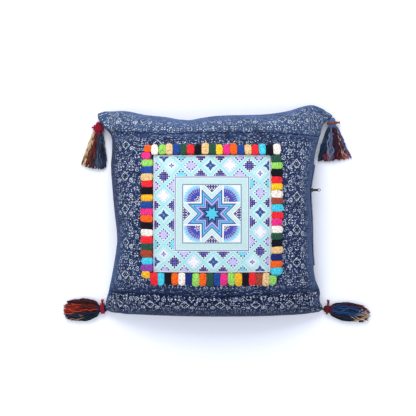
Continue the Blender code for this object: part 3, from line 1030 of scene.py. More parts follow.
    def dye(self, places: np.ndarray, normals: np.ndarray) -> None:
        """Give each point its cloth's ground, with painted light and shade: the top band is lighter than the
        middle, partly as faded cloth and partly as painted light from above, the bottom band is darker as
        painted shade, and each side is lighter or darker by which way it faces.

        Args:
            places: the cover's points.
            normals: their normals.
        """
        tones = {name: np.array(linear(code)) for name, code in self.grounds_and_painted_light.items()}
        x, y = places[:, 0], places[:, 1]
        colours = np.tile(tones["middle"], (len(places), 1))
        # Painted light and shade: the top band lighter and the bottom band darker than the middle
        colours[y > self.seam_line(self.seam_top, x)] = tones["top band"]
        colours[y < self.seam_line(self.seam_bottom, x)] = tones["bottom band"]
        # Painted light and shade on the sides: each side's ground is set by which way it faces, and the left
        # side is darker high up than low down
        low = np.clip(0.5 - y / (260 * MM), 0, 1)[:, None]
        left = tones["left side, high"] * (1 - low) + tones["left side, low"] * low
        ways = np.stack([normals[:, 1], -normals[:, 1], normals[:, 0], -normals[:, 0]], axis=1)
        shares = np.clip(ways, 0, 1) ** 2 + 1e-6
        shares /= shares.sum(axis=1, keepdims=True)
        side = shares[:, :1] * tones["top side"] + shares[:, 1:2] * tones["bottom side"]
        side += shares[:, 2:3] * tones["right side"] + shares[:, 3:] * left
        share = self.turned(normals)[:, None]
        paint(self.piece, "ground_and_painted_light", colours * (1 - share) + side * share)


# The embroidered panel


class Fill(Enum):
    """How a diamond or triangle of the panel's lattice is worked."""

    CROSS = "white with a small cross"
    CHECKS = "lavender checks in a dotted outline"
    FLOWER = "white with a four-petalled flower"
    FAINT = "white with faint dots"
    INDIGO = "indigo in a dotted outline"
    AQUA = "aqua in a dotted outline"


@dataclass(frozen=True)
class LatticeTile:
    """A diamond of the lattice: its place along one side and out from the middle, in panel units."""

    along: float
    out: float
    fill: Fill


@dataclass(frozen=True)
class StarChart:
    """The panel's pattern: an eight-pointed star in a square, four fans and a border of diamonds.

    It is worked out in units of 1.913 mm from the panel's middle, the same on all four sides.
    """

    unit: float = 1.913 * MM
    edge: float = 58.7
    outer_line: float = 36.7
    inner_line: float = 29.1
    star_side: float = 10.0
    half_pitch: float = 9.7
    stitch: float = 0.985
    row: float = 48.1
    fan_corner: float = 11.8
    white: str = "#f4f7fb"
    pale_aqua: str = "#cbe8e2"
    strip: str = "#bdebe9"
    aqua: str = "#a2e4e8"
    cyan: str = "#58d3ec"
    lavender: str = "#bdb8ee"
    indigo: str = "#4543a8"
    navy: str = "#24386f"
    black: str = "#15142c"
    plum: str = "#5b4f93"
    line: str = "#8793b0"

    def tiles(self) -> list[LatticeTile]:
        """The lattice's diamonds and half diamonds along one side."""
        on_row, outside = (self.row,), (self.row + self.half_pitch,)
        both = (*outside, self.row - self.half_pitch)
        plan = (
            (-40.4, on_row, Fill.CROSS),
            (-30.7, both, Fill.AQUA),
            (-21.0, on_row, Fill.CHECKS),
            (-11.2, both, Fill.INDIGO),
            (-1.5, on_row, Fill.FLOWER),
            (8.2, both, Fill.INDIGO),
            (18.0, on_row, Fill.FAINT),
            (27.7, both, Fill.CHECKS),
            (37.4, on_row, Fill.INDIGO),
            (47.1, outside, Fill.CHECKS),
            (56.8, on_row, Fill.FLOWER),
        )
        return [LatticeTile(along, out, fill) for along, outs, fill in plan for out in outs]

    def colour(self, x: float, y: float) -> str:
        """The colour of the stitch at a place.

        Args:
            x: units to the right of the panel's middle.
            y: units above it.

        Returns:
            The thread's hex colour.
        """
        reach = max(abs(x), abs(y))
        inner, outer = self.inner_line, self.outer_line
        if outer + 1.1 < reach <= self.edge - 0.9:
            return self.lattice(x, y)
        if reach <= inner - 0.5:
            return self.middle(x, y)
        frames = (
            (inner + 0.5, self.line),
            (outer - 1.3, self.pale_aqua),
            (outer - 0.62, self.white),
            (outer + 0.62, self.line),
            (math.inf, self.white),
        )
        return band(frames, reach)

    def lattice(self, x: float, y: float) -> str:
        """The colour in the border of diamonds, from the nearest diamond of any side."""
        near = []
        for along, out in ((x, y), (-y, x), (-x, -y), (y, -x)):
            if out >= 30:
                ways = [(along - tile.along, out - tile.out, tile.fill) for tile in self.tiles()]
                near += [(abs(side) + abs(up), side, up, fill) for side, up, fill in ways]
        far, side, up, fill = min(near, key=lambda one: one[0])
        if far <= 6.6:
            return self.tile_colour(far, side, up, fill)
        return band(((7.2, self.white), (9.1, self.strip), (math.inf, self.aqua)), far)

    def tile_colour(self, far: float, side: float, up: float, fill: Fill) -> str:
        """The colour inside one diamond.

        Args:
            far: distance from its middle, counted along both of its axes.
            side: units beside its middle.
            up: units above its middle.
            fill: how it is worked.

        Returns:
            The thread's hex colour.
        """
        column, row = round(side / self.stitch), round(up / self.stitch)
        spot = 2 * self.stitch * min(3, round(abs(side) / (2 * self.stitch)))
        dotted = max(abs(abs(side) - spot), abs(abs(up) + spot - 6 * self.stitch)) < 0.8
        if fill is Fill.CROSS:
            if 0.9 < far < 2.8 and min(abs(side), abs(up)) < 0.7:
                return "#6a5a9c"
            return band(((0.9, self.lavender), (4.9, self.white), (math.inf, self.strip)), far)
        if fill is Fill.FLOWER:
            thin, tip = sorted((abs(side), abs(up)))
            if thin < min(0.8 * tip, 0.62 * (5.2 - tip)) + 0.25 and tip < 5.2:
                return "#6f9fd0" if far < 1.2 else "#35548f"
            return self.white if far < 5.6 else self.strip
        if fill is Fill.FAINT:
            return "#dccbea" if dotted else "#fbfafd"
        if dotted:
            return "#3b3076" if fill is Fill.CHECKS else self.black
        if far > 5.1:
            return self.white
        if fill is Fill.INDIGO:
            return "#8f88cc" if column % 2 and row % 2 else "#3d3585"
        even, odd = (self.lavender, "#ddd8f5") if fill is Fill.CHECKS else (self.cyan, "#9be4f1")
        return odd if (column + row) % 2 else even

    def middle(self, x: float, y: float) -> str:
        """The colour in the inner square: the star, its white ground, the fans and the triangles."""
        short, tall = sorted((abs(x), abs(y)))
        over = tall - short
        share = max(short / self.star_side, over / (self.star_side * math.sqrt(2)))
        if share <= 1:
            return self.star(share)
        if short > self.fan_corner:
            return self.fan(short - self.fan_corner, tall - self.fan_corner, x * y > 0)
        if over > 15.6 and short < 10.4:
            return self.triangle(over, short, tall)
        return self.white

    def star(self, share: float) -> str:
        """The star's bands, from its edge inwards, and the small star in its middle."""
        if share < 0.27:
            return "#58cfe6"
        bands = (
            (0.7, self.plum), (1.5, "#5aa8d0"), (2.3, self.cyan), (3.1, "#4b49a0"),
            (4.3, self.lavender), (5.3, self.navy), (5.7, "#6f7fb4"), (math.inf, self.navy),
        )
        return band(bands, self.star_side * (1 - share))

    def fan(self, side: float, up: float, rising: bool) -> str:
        """A quarter fan, opened from its corner nearest the star.

        Args:
            side: units beside its corner, the shorter way.
            up: units beside its corner, the longer way.
            rising: whether it stands on the diagonal that rises to the right.

        Returns:
            The thread's hex colour.
        """
        radius = math.hypot(side, up)
        turn = math.degrees(math.atan2(up, side) if rising else math.atan2(side, up))
        if max(side, up) > 16.3 or radius > 17.2:
            return self.white
        if radius < 5.4 + 1.0 * math.sin(math.radians(turn * 2)):
            if (int(turn / 18 + 0.2) + int(radius / 1.3)) % 2 == 0:
                return self.black
            return "#dcd8f2" if radius > 3 else self.white
        rings = (
            (9.8, (self.indigo, "#5553bb")),
            (13.0, ("#2b3f7c", "#8f93d6")),
            (14.8, ("#8fa6e6", "#b9c6f2")),
            (16.4, ("#94e2ea", "#94e2ea")),
            (math.inf, ("#94e2ea", "#d4f4f4")),
        )
        return band(rings, radius)[int(turn / 5.2) % 2]

    def triangle(self, over: float, short: float, tall: float) -> str:
        """The dotted triangle at the middle of a side, in its aqua and white edging."""
        if over < 19.4:
            return self.pale_aqua if over < 17.2 or over > 18.0 else "#d8f5ea"
        if over < 21.0:
            return self.white
        rows = int((tall - 21.0) // 1.3)
        dots = (round(short / 1.3) + rows) % 2 == 0
        return self.black if dots else ("#5a4a9c" if rows % 3 == 1 else "#e4def4")


@dataclass
class Panel:
    """The square embroidered panel, laid on the cushion's face."""

    skin: Skin
    side: float = PANEL_SIDE
    middle: tuple[float, float] = PANEL_MIDDLE
    lift: float = 0.5 * MM
    thick: float = 1.5 * MM
    stitches: int = 218
    easings: int = 10
    piece: bpy.types.Object = field(init=False)

    def build(self) -> None:
        """Lay the panel, give each stitch its colour, and thicken it."""
        grid = bpy.ops.mesh.primitive_grid_add
        sides = {"x_subdivisions": self.stitches, "y_subdivisions": self.stitches}
        self.piece = add_shape(grid, **sides, size=self.side, location=(*self.middle, 0))
        self.piece.name = "embroidered_panel"
        settle(self.piece)
        self.lay()
        self.stitch()
        apply_modifier(self.piece, "SOLIDIFY", thickness=self.thick, offset=1.0, use_even_offset=False)
        put_on(self.piece, CrossStitch("cross_stitched_cotton", 0.8, sheen=0.05, specular=0.2).build())
        ride_and_report(self.piece, "embroidered_cotton", "panel")

    def lay(self) -> None:
        """Let the panel lie over the face, bridging the small dips."""
        places = points_of(self.piece)
        size = self.stitches + 1
        raw = np.array([self.skin.top(x, y) for x, y, _ in places]).reshape(size, size)
        eased = raw.copy()
        for _ in range(self.easings):
            wide = np.pad(eased, 1, mode="reflect", reflect_type="odd")
            eased = (wide[:-2, 1:-1] + wide[2:, 1:-1] + wide[1:-1, :-2] + wide[1:-1, 2:]) / 4
        places[:, 2] = np.maximum(raw, eased).ravel() + self.lift
        move_points(self.piece, places)

    def stitch(self) -> None:
        """Give each stitch the colour that the chart has at its middle."""
        mesh = self.piece.data
        chart = StarChart()
        colours = np.zeros((len(mesh.loops), 4), dtype=np.float32)
        for face in mesh.polygons:
            x = (face.center.x - self.middle[0]) / chart.unit
            y = (face.center.y - self.middle[1]) / chart.unit
            colours[face.loop_start : face.loop_start + face.loop_total] = linear(chart.colour(x, y))
        paint(self.piece, "thread", colours, "CORNER")


# The pompoms


DYES = {
    "orange": "#f2611a", "ivory": "#f3e7da", "lime": "#93d05e", "tan": "#e6be82", "blue": "#24468f",
    "green": "#285140", "red": "#ea2b31", "black": "#12131b", "yellow": "#f3c52a", "pink": "#e5327f",
    "cyan": "#45c6dc", "amber": "#f0b02a", "rust": "#a3432c", "brown": "#9c4633", "purple": "#8a46a0",
    "navy": "#1b2c6c", "beige": "#e2bd88", "undyed": "#cfdde0",
}


@dataclass(frozen=True)
class PompomRow:
    """A row of pompoms along one edge of the panel, in mm.

    It has its edge's turn, where its first and last pompoms are, their dyes in order, which of them
    are shorter at the panel's side, and how much longer all of them are at their outer ends.
    """

    name: str
    turn: float
    first: float
    last: float
    dyes: str
    short: tuple[int, ...] = ()
    longer: float = 0.0


ROWS = (
    PompomRow(
        "pompom_trim_top", 0, -123.9, 125.1,
        "orange ivory lime tan blue green red black tan green "
        "yellow pink orange blue tan red cyan black ivory",
        short=(0,),
    ),
    PompomRow(
        "pompom_trim_right", -90, -105.7, 110.8,
        "green lime black red yellow ivory brown cyan red pink ivory green black tan navy orange cyan",
        longer=1.6,
    ),
    PompomRow(
        "pompom_trim_bottom", 180, -118.0, 111.7,
        "lime beige brown red black amber lime pink blue green orange lime navy ivory orange black cyan red",
        short=(0,),
        longer=4.4,
    ),
    PompomRow(
        "pompom_trim_left", 90, -117.8, 111.4,
        "amber purple cyan rust green red ivory black orange pink blue amber black red tan blue lime pink",
        short=(0, 17),
        longer=2.6,
    ),
)


@dataclass
class Pompoms:
    """The rows of wool pompoms round the panel, each row on its own tape."""

    skin: Skin
    panel_side: float = PANEL_SIDE
    middle: tuple[float, float] = PANEL_MIDDLE
    inner: float = 0.1 * MM
    outer: float = 24.6 * MM
    width: float = 15.3 * MM
    height: float = 10.6 * MM
    lift: float = 0.5 * MM
    setback: float = 5.5 * MM
    yarns: int = 6
    pad: bpy.types.Object = field(init=False)
    wool: bpy.types.Material = field(init=False)
    dice: random.Random = field(default_factory=lambda: random.Random(11))

    def build(self) -> None:
        """Make one pad of yarn, then each row from copies of it."""
        coarse = {"fibre": 400.0, "relief": 0.0014, "darkest": 0.45, "lightest": 1.28}
        self.wool = DyedYarn("dyed_wool_pompoms", 0.97, sheen=0.03, specular=0.12, **coarse).build()
        self.make_pad()
        for row in ROWS:
            self.build_row(row)
        bpy.data.objects.remove(self.pad, do_unlink=True)

    def make_pad(self) -> None:
        """A rounded pad of lengthwise yarns, from a cube of unit size that stands on its base."""
        self.pad = add_shape(bpy.ops.mesh.primitive_cube_add, size=1.0, location=(0, 0, 0.5))
        self.pad.name = "pompom_pad"
        settle(self.pad)
        edit(self.pad, bpy.ops.mesh.subdivide, number_cuts=7)
        places = points_of(self.pad)
        box = np.stack([places[:, 0] * 2, places[:, 1] * 2, places[:, 2] * 2 - 1], axis=1)
        ball = box / np.maximum(np.linalg.norm(box, axis=1, keepdims=True), 1e-9)
        size = np.max(np.abs(box), axis=1, keepdims=True)
        # Pulled towards a ball most at its outer end, as wool cut and rolled by hand is
        square = 0.36 - 0.16 * box[:, 1:2]
        shape = box * square + ball * size * (1 - square) * 1.12
        ridge = np.cos(shape[:, 0] * math.pi * self.yarns / 2)
        swell = 1 + 0.055 * ridge * np.clip(1 - np.abs(shape[:, 0]) * 0.6, 0, 1)
        shape[:, 1] *= 1 + 0.03 * ridge
        shape[:, 2] = np.where(shape[:, 2] > 0, shape[:, 2] * swell, shape[:, 2])
        limit = np.max(np.abs(shape), axis=0)
        shape = shape / limit
        move_points(self.pad, np.stack([shape[:, 0] / 2, shape[:, 1] / 2, (shape[:, 2] + 1) / 2], axis=1))

    def beside(self, row: PompomRow, along: float, away: float) -> tuple[float, float]:
        """A place along one edge of the panel and away from it."""
        turn = math.radians(row.turn)
        reach = self.panel_side / 2 + away
        x = self.middle[0] + along * math.cos(turn) - reach * math.sin(turn)
        y = self.middle[1] + along * math.sin(turn) + reach * math.cos(turn)
        return x, y

    def build_row(self, row: PompomRow) -> None:
        """Copy the pad along one edge, bend each copy onto the face and join them with their tape.

        Args:
            row: the row to make.
        """
        dyes = row.dyes.split()
        pitch = (row.last - row.first) * MM / (len(dyes) - 1)
        pads = []
        for index, dye in enumerate(dyes):
            setback = self.setback if index in row.short else 0.0
            pads.append(self.place_pad(row, row.first * MM + pitch * index, dye, setback))
        pads.append(self.make_tape(row, pitch))
        made = join(pads, row.name.replace("pompom_trim", "wool_pompoms"))
        put_on(made, self.wool)
        smooth(made)
        ride_and_report(made, "wool_pompoms", row.name)

    def place_pad(self, row: PompomRow, along: float, dye: str, setback: float) -> bpy.types.Object:
        """One dyed copy of the pad, bent onto the face.

        Args:
            row: its row.
            along: its place along the row.
            dye: its colour's name.
            setback: how much shorter it is at the panel's side.

        Returns:
            The copy.
        """
        copy = twin(self.pad)
        unit = points_of(copy)
        dice = self.dice
        width = self.width * dice.uniform(0.98, 1.09)
        inner = self.inner + setback + dice.uniform(-0.6, 0.6) * MM
        outer = self.outer + row.longer * MM - dice.uniform(0, 3.4) * MM
        tall = self.height * dice.uniform(0.84, 1.04)
        lean = dice.uniform(-1.3, 1.3) * MM
        swell = dice.uniform(-0.08, 0.16)
        places = np.empty_like(unit)
        for number, (across, length, up) in enumerate(unit):
            wide = width * (1 + swell * length)
            side = along + across * wide + lean * (length + 0.5)
            away = inner + (length + 0.5) * (outer - inner)
            x, y = self.beside(row, side, away)
            places[number] = (x, y, self.skin.top(x, y) + self.lift + 0.4 * MM + up * tall)
        move_points(copy, places)
        paint(copy, "dye", np.tile(linear(DYES[dye]), (len(unit), 1)))
        return copy

    def make_tape(self, row: PompomRow, pitch: float) -> bpy.types.Object:
        """The narrow tape that the pompoms are sewn to, under their inner ends."""
        tape = add_shape(bpy.ops.mesh.primitive_grid_add, x_subdivisions=80, y_subdivisions=2, size=1.0)
        settle(tape)
        unit = points_of(tape)
        first = row.first * MM - pitch * 0.4
        last = row.last * MM + pitch * 0.4
        back = self.setback if row.short else 0.0
        places = np.empty_like(unit)
        for number, (along, across, _) in enumerate(unit):
            x, y = self.beside(row, first + (along + 0.5) * (last - first), back + 3 * MM + across * 4 * MM)
            places[number] = (x, y, self.skin.top(x, y) + self.lift)
        move_points(tape, places)
        apply_modifier(tape, "SOLIDIFY", thickness=1.2 * MM, offset=1.0)
        paint(tape, "dye", np.tile(linear(DYES["undyed"]), (len(tape.data.vertices), 1)))
        return tape


# Tassels and ties


@dataclass(frozen=True)
class Lock:
    """A lock of yarn: its place across the skirt, from -1 to 1, its colours and its ends' colours."""

    across: float
    dyes: tuple[str, ...]
    ends: tuple[str, ...] = ()


@dataclass(frozen=True)
class Tie:
    """The yarn wound round a tassel's head: where it starts and ends, in mm, and its loose ends' side."""

    start: float
    end: float
    dye: str
    loose_end: float
    side: int


@dataclass(frozen=True)
class Yarn:
    """One yarn: its points, its radius and its linear colour at each point."""

    path: tuple[Vector, ...]
    radius: float
    colours: tuple[tuple[float, float, float, float], ...]


def make_yarns(name: str, yarns: list[Yarn], sides: int = 5) -> bpy.types.Object:
    """Make round yarns along their paths, as one mesh with the dye of each point.

    Args:
        name: the object's name.
        yarns: the yarns.
        sides: how many faces go round a yarn.

    Returns:
        The mesh object.
    """
    points, faces, dyes = [], [], []
    for yarn in yarns:
        path = np.array([tuple(point) for point in yarn.path])
        ahead = np.gradient(path, axis=0)
        ahead /= np.linalg.norm(ahead, axis=1, keepdims=True) + 1e-9
        across = np.cross(ahead, (0.0, 0.0, 1.0))
        across += np.where(np.linalg.norm(across, axis=1, keepdims=True) < 0.2, 1.0, 0.0) * (1.0, 0.0, 0.0)
        across /= np.linalg.norm(across, axis=1, keepdims=True)
        up = np.cross(across, ahead)
        first = len(points)
        for place, side, top, colour in zip(path, across, up, yarn.colours):
            last = place is path[-1]
            for step in range(sides):
                turn = 2 * math.pi * step / sides
                reach = yarn.radius * (0.7 if last else 1.0)
                points.append(place + reach * (math.cos(turn) * side + math.sin(turn) * top))
                dyes.append(colour)
        for ring in range(len(path) - 1):
            here = first + ring * sides
            for step in range(sides):
                after = (step + 1) % sides
                faces.append((here + step, here + after, here + sides + after, here + sides + step))
        faces.append(tuple(first + step for step in reversed(range(sides))))
        end = first + (len(path) - 1) * sides
        faces.append(tuple(end + step for step in range(sides)))
    mesh = bpy.data.meshes.new(name)
    mesh.from_pydata([tuple(point) for point in points], [], faces)
    piece = bpy.data.objects.new(name, mesh)
    bpy.context.scene.collection.objects.link(piece)
    paint(piece, "dye", np.array(dyes))
    edit(piece, bpy.ops.mesh.normals_make_consistent, inside=False)
    return piece


@dataclass
class Tassel:
    """A yarn tassel that lies on the floor, its head under its tie.

    Its place, head, skirt, half width and heap are in mm. Its opening says how soon the skirt
    widens, its closing how far it draws in again, its rounding how much shorter the outer yarns
    are, and its fluff how wavy the yarns are. The head's shape is a width at each place along it,
    the stages are shares of the skirt's length, and wrapped and ends_from count a yarn's points.
    """

    name: str
    x: float
    y: float
    heading: float
    head: float
    skirt: float
    half_end: float
    opening: float
    head_dye: str
    tie: Tie
    seed: int
    locks: tuple[Lock, ...]
    fluff: float = 1.0
    closing: float = 0.0
    heap: float = 14.0
    rounding: float = 0.08
    wrapped: int = 4
    ends_from: int = 9
    yarns: int = 210
    stages: tuple[float, ...] = (0.07, 0.15, 0.24, 0.34, 0.45, 0.56, 0.67, 0.78, 0.89, 1.0)
    head_shape: tuple[tuple[float, float], ...] = ((-0.14, 0.42), (0.06, 0.8), (0.5, 0.93), (0.95, 0.88))
    radius: float = 1.0 * MM
    neck_across: float = 9 * MM
    neck_up: float = 6.5 * MM
    neck_height: float = 9.2 * MM
    dice: random.Random = field(init=False)

    def __post_init__(self) -> None:
        """Start the tassel's own dice."""
        self.dice = random.Random(self.seed)

    def lie(self, along: float, across: float, up: float) -> Vector:
        """A point in the tassel's own directions, on the floor."""
        turn = math.radians(self.heading)
        return Vector(
            (
                self.x * MM + along * math.cos(turn) - across * math.sin(turn),
                self.y * MM + along * math.sin(turn) + across * math.cos(turn),
                up,
            )
        )

    def build(self) -> None:
        """Make the skirt and head, and the tie round it."""
        self.build_yarns()
        self.build_tie()

    def path(self, spread: float, rise: float, length: float, drift: float) -> list[Vector]:
        """One yarn from the head's top through the neck to its end on the floor.

        Args:
            spread: its place across the bundle, from -1 to 1.
            rise: its place up the bundle, from -1 to 1.
            length: its share of the skirt's length.
            drift: how far it strays sideways by its end.

        Returns:
            The yarn's points.
        """
        dice = self.dice
        head = self.head * MM
        points = []
        for along, size in self.head_shape:
            limit = size * (1 - self.radius / self.neck_up)
            points.append(
                self.lie(
                    along * head,
                    spread * self.neck_across * limit,
                    self.neck_height + rise * self.neck_up * limit,
                )
            )
        phase = dice.uniform(0, 6.28)
        sway = dice.uniform(0.6, 2.4) * MM * self.fluff
        end = self.half_end * MM
        for stage in self.stages:
            wide = self.neck_across + (end - self.neck_across) * stage**self.opening
            wide *= 1 - self.closing * max(0.0, stage - 0.55) / 0.45
            across = spread * wide + drift * stage * MM + sway * math.sin(phase + stage * 6) * stage
            heap = self.heap * MM * (1 - 0.45 * stage) * math.sqrt(max(0.1, 1 - 0.75 * spread * spread))
            low = self.radius + (rise + 1) / 2 * heap
            root = self.neck_height + rise * self.neck_up * 0.85
            settled = min(1.0, stage / 0.24)
            up = root + (low - root) * settled + 0.8 * MM * math.sin(phase * 2 + stage * 13) * settled
            across += 0.9 * MM * self.fluff * math.sin(phase * 3 + stage * 23) * settled
            across = max(-wide, min(wide, across))
            along = head + self.skirt * MM * stage * length
            points.append(self.lie(along, across, max(self.radius, up)))
        return points

    def build_yarns(self) -> None:
        """The skirt's yarns in their locks, drawn through the head."""
        """The skirt's yarns in their locks, drawn through the head."""
        dice = self.dice
        yarns = []
        for _ in range(self.yarns):
            turn = dice.uniform(0, 2 * math.pi)
            reach = math.sqrt(dice.uniform(0, 1))
            spread = reach * math.cos(turn)
            spread = math.copysign(abs(spread) ** 0.8, spread)
            rise = reach * math.sin(turn)
            lock = min(self.locks, key=lambda one: abs(one.across - spread) + dice.uniform(0, 0.08))
            length = 1 - 0.22 * dice.random() ** 1.5 - self.rounding * spread**2
            path = self.path(spread, rise, length, dice.uniform(-3, 3))
            shade = dice.uniform(0.5, 1.25)
            skirt, tip = (
                tuple(one * shade for one in linear(dice.choice(dyes))[:3]) + (1.0,)
                for dyes in (lock.dyes, lock.ends or ("#000000",))
            )
            turned = dice.randint(self.ends_from, self.ends_from + 2) if lock.ends else len(path)
            colours = (linear(self.head_dye),) * self.wrapped + (skirt,) * (len(path) - self.wrapped)
            colours = colours[:turned] + (tip,) * (len(path) - turned)
            yarns.append(Yarn(tuple(path), self.radius, colours))
        self.finish(make_yarns(self.name + "_yarns", yarns), "tassel_yarn", self.name, "spun_cotton_yarn")

    def build_tie(self) -> None:
        """The yarn wound round the head, with its loose ends lying out to the side."""
        tie, radius, steps = self.tie, 0.9 * MM, 20
        start, end = tie.start * MM, tie.end * MM
        turns = max(2, round((end - start) / (2 * radius)))
        wide = self.neck_across + 0.3 * MM + radius
        tall = self.neck_up + 0.3 * MM + radius
        path = []
        for step in range(turns * steps + 1):
            turn = 2 * math.pi * step / steps + (0 if tie.side > 0 else math.pi)
            along = start + radius + (end - start - 2 * radius) * step / (turns * steps)
            path.append(self.lie(along, wide * math.cos(turn), self.neck_height + tall * math.sin(turn)))
        colour = linear(tie.dye)
        yarns = [Yarn(tuple(path), radius, (colour,) * len(path))]
        for lean, drop in ((0.16, 0.7), (-0.2, 0.9)):
            tail = []
            for share in (step / 6 for step in range(7)):
                out = (tie.loose_end + 1.7) * MM * share
                along = start + (end - start) / 2 + lean * out
                up = self.neck_height + 1.5 * MM * math.sin(share * math.pi) - drop * out * share * 0.7
                tail.append(self.lie(along, tie.side * (wide - 1.2 * MM + out), max(1.6 * radius, up)))
            yarns.append(Yarn(tuple(tail), 1.6 * radius, (colour,) * len(tail)))
        node = self.name.replace("tassel", "tie")
        self.finish(make_yarns(node + "_yarn", yarns), "tie_yarn", node, "wound_cotton_yarn")

    def finish(self, made: bpy.types.Object, slot: str, node: str, finish_name: str) -> None:
        """Give yarns their finish, and let them stand for their CAD node.

        Args:
            made: the finished yarns.
            slot: the record's material slot.
            node: the CAD node that they replace.
            finish_name: the finish's name, to which the corner is added.
        """
        fine = {"fibre": 1100.0, "stretch": (0.18, 1.0, 1.0), "relief": 0.0004, "heading": self.heading}
        yarn = DyedYarn(finish_name + "_" + self.name[-2:], 0.88, sheen=0.08, specular=0.15, **fine)
        put_on(made, yarn.build())
        smooth(made)
        ride_and_report(made, slot, node)


CREAM, MAROON, SLATE, INK = "#d8bd93", "#4a1317", "#30435f", "#0f1018"
NAVY, CORAL, PLUM_RED, TEAL = "#172548", "#b8371f", "#2c1530", "#12343f"

TASSELS = (
    Tassel(
        "tassel_nw",
        x=-233.25, y=186.0, heading=-98, head=18, skirt=75, half_end=25, opening=0.8,
        fluff=1.3, rounding=0.05,
        head_dye="#8a0f2c",
        tie=Tie(4, 16, "#8c0f2d", loose_end=3, side=-1),
        seed=21,
        locks=(
            Lock(-0.85, (CREAM, "#d2bb96", "#b98f63"), (CREAM, "#8a6a48", "#6e3a28")),
            Lock(-0.45, (CREAM, "#7c2a20", "#5f1f1a"), ("#7a3a22", CREAM, "#5f1f1a")),
            Lock(-0.05, (MAROON, "#66201c", MAROON), ("#7c3320", MAROON, "#3a2a33")),
            Lock(0.35, (SLATE, NAVY, "#3d4f66"), ("#4d5c70", NAVY)),
            Lock(0.8, (INK, INK, "#46566a"), ("#46566a", NAVY)),
        ),
    ),
    Tassel(
        "tassel_ne",
        x=240.0, y=195.3, heading=-85, head=15, skirt=71, half_end=34, opening=0.9,
        ends_from=12, fluff=2.1, rounding=0.05,
        head_dye="#51658f",
        tie=Tie(6, 11, "#8a4424", loose_end=5, side=1),
        seed=22,
        locks=(
            Lock(-0.9, ("#1d4560", "#24506e", NAVY), ("#24506e", "#1d4560")),
            Lock(-0.6, (INK, PLUM_RED, "#1d4560"), ("#c8441c", "#7c2a1c", INK)),
            Lock(-0.3, ("#6b7798", "#5d6788", "#8490ad"), ("#8490ad", "#c8441c", "#6b7798")),
            Lock(0.02, (PLUM_RED, "#4a1730", "#3d1a2c"), ("#c8441c", "#8e2c18", PLUM_RED)),
            Lock(0.3, (PLUM_RED, "#4a1c24", "#3d1a2c"), ("#c8441c", "#a83a20", MAROON)),
            Lock(0.5, ("#c49a7c", "#7a3a2c", PLUM_RED), ("#c49a7c", "#a83a20")),
            Lock(0.82, ("#2f659a", "#28538a", "#3a74ac"), ("#a02c20", "#2f659a", "#c8441c")),
        ),
    ),
    Tassel(
        "tassel_sw",
        x=-219.0, y=-190.0, heading=184, head=15, skirt=73, half_end=28, opening=0.5,
        fluff=1.9, closing=0.28, heap=21.0, rounding=0.22,
        head_dye="#161d38",
        tie=Tie(3, 12, "#8c0f2d", loose_end=7, side=-1),
        seed=23,
        locks=(
            Lock(-0.85, (MAROON, "#571619", INK)),
            Lock(-0.4, ("#66201c", "#93331d", MAROON), ("#66201c", CORAL)),
            Lock(-0.02, (CORAL, "#93331d", MAROON), (CORAL, "#7c3320")),
            Lock(0.32, (INK, NAVY, "#3a1016"), (TEAL, INK, MAROON)),
            Lock(0.62, (TEAL, NAVY, INK), ("#a8785e", INK, NAVY)),
            Lock(0.9, (INK, INK, TEAL), ("#a8926e", INK, INK)),
        ),
    ),
    Tassel(
        "tassel_se",
        x=225.5, y=-191.0, heading=-8, head=12, skirt=82, half_end=23, opening=0.6,
        ends_from=11, fluff=1.9, closing=0.30, heap=21.0, rounding=0.24,
        head_dye="#4a1119",
        tie=Tie(3, 8, "#5c0f1a", loose_end=7, side=1),
        seed=24,
        locks=(
            Lock(-0.88, (INK, INK, "#1a0d14"), ("#b39f7a", "#33141c", INK)),
            Lock(-0.5, (INK, INK, NAVY), (CREAM, "#d8ab7e", "#4a1a1c")),
            Lock(-0.1, ("#1f4a7c", "#1c4272", NAVY), ("#d0ae88", CREAM, "#1c3a6e")),
            Lock(0.2, ("#1f4a7c", "#23507f", INK), ("#d0ae88", "#1c3a6e", "#8e2c18")),
            Lock(0.45, ("#1c3a6e", INK, TEAL), ("#7a2f1c", NAVY)),
            Lock(0.85, (INK, "#163a56", MAROON), ("#7a2f1c", INK)),
        ),
    ),
)


# The zip


def tape_points() -> list[tuple[float, float, float]]:
    """The points of the zip tape's CAD node, each y rounded so that those at one place match."""
    places = points_of(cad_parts["zip_tape"])
    return [(x, round(y, 4), z) for x, y, z in places.tolist()]


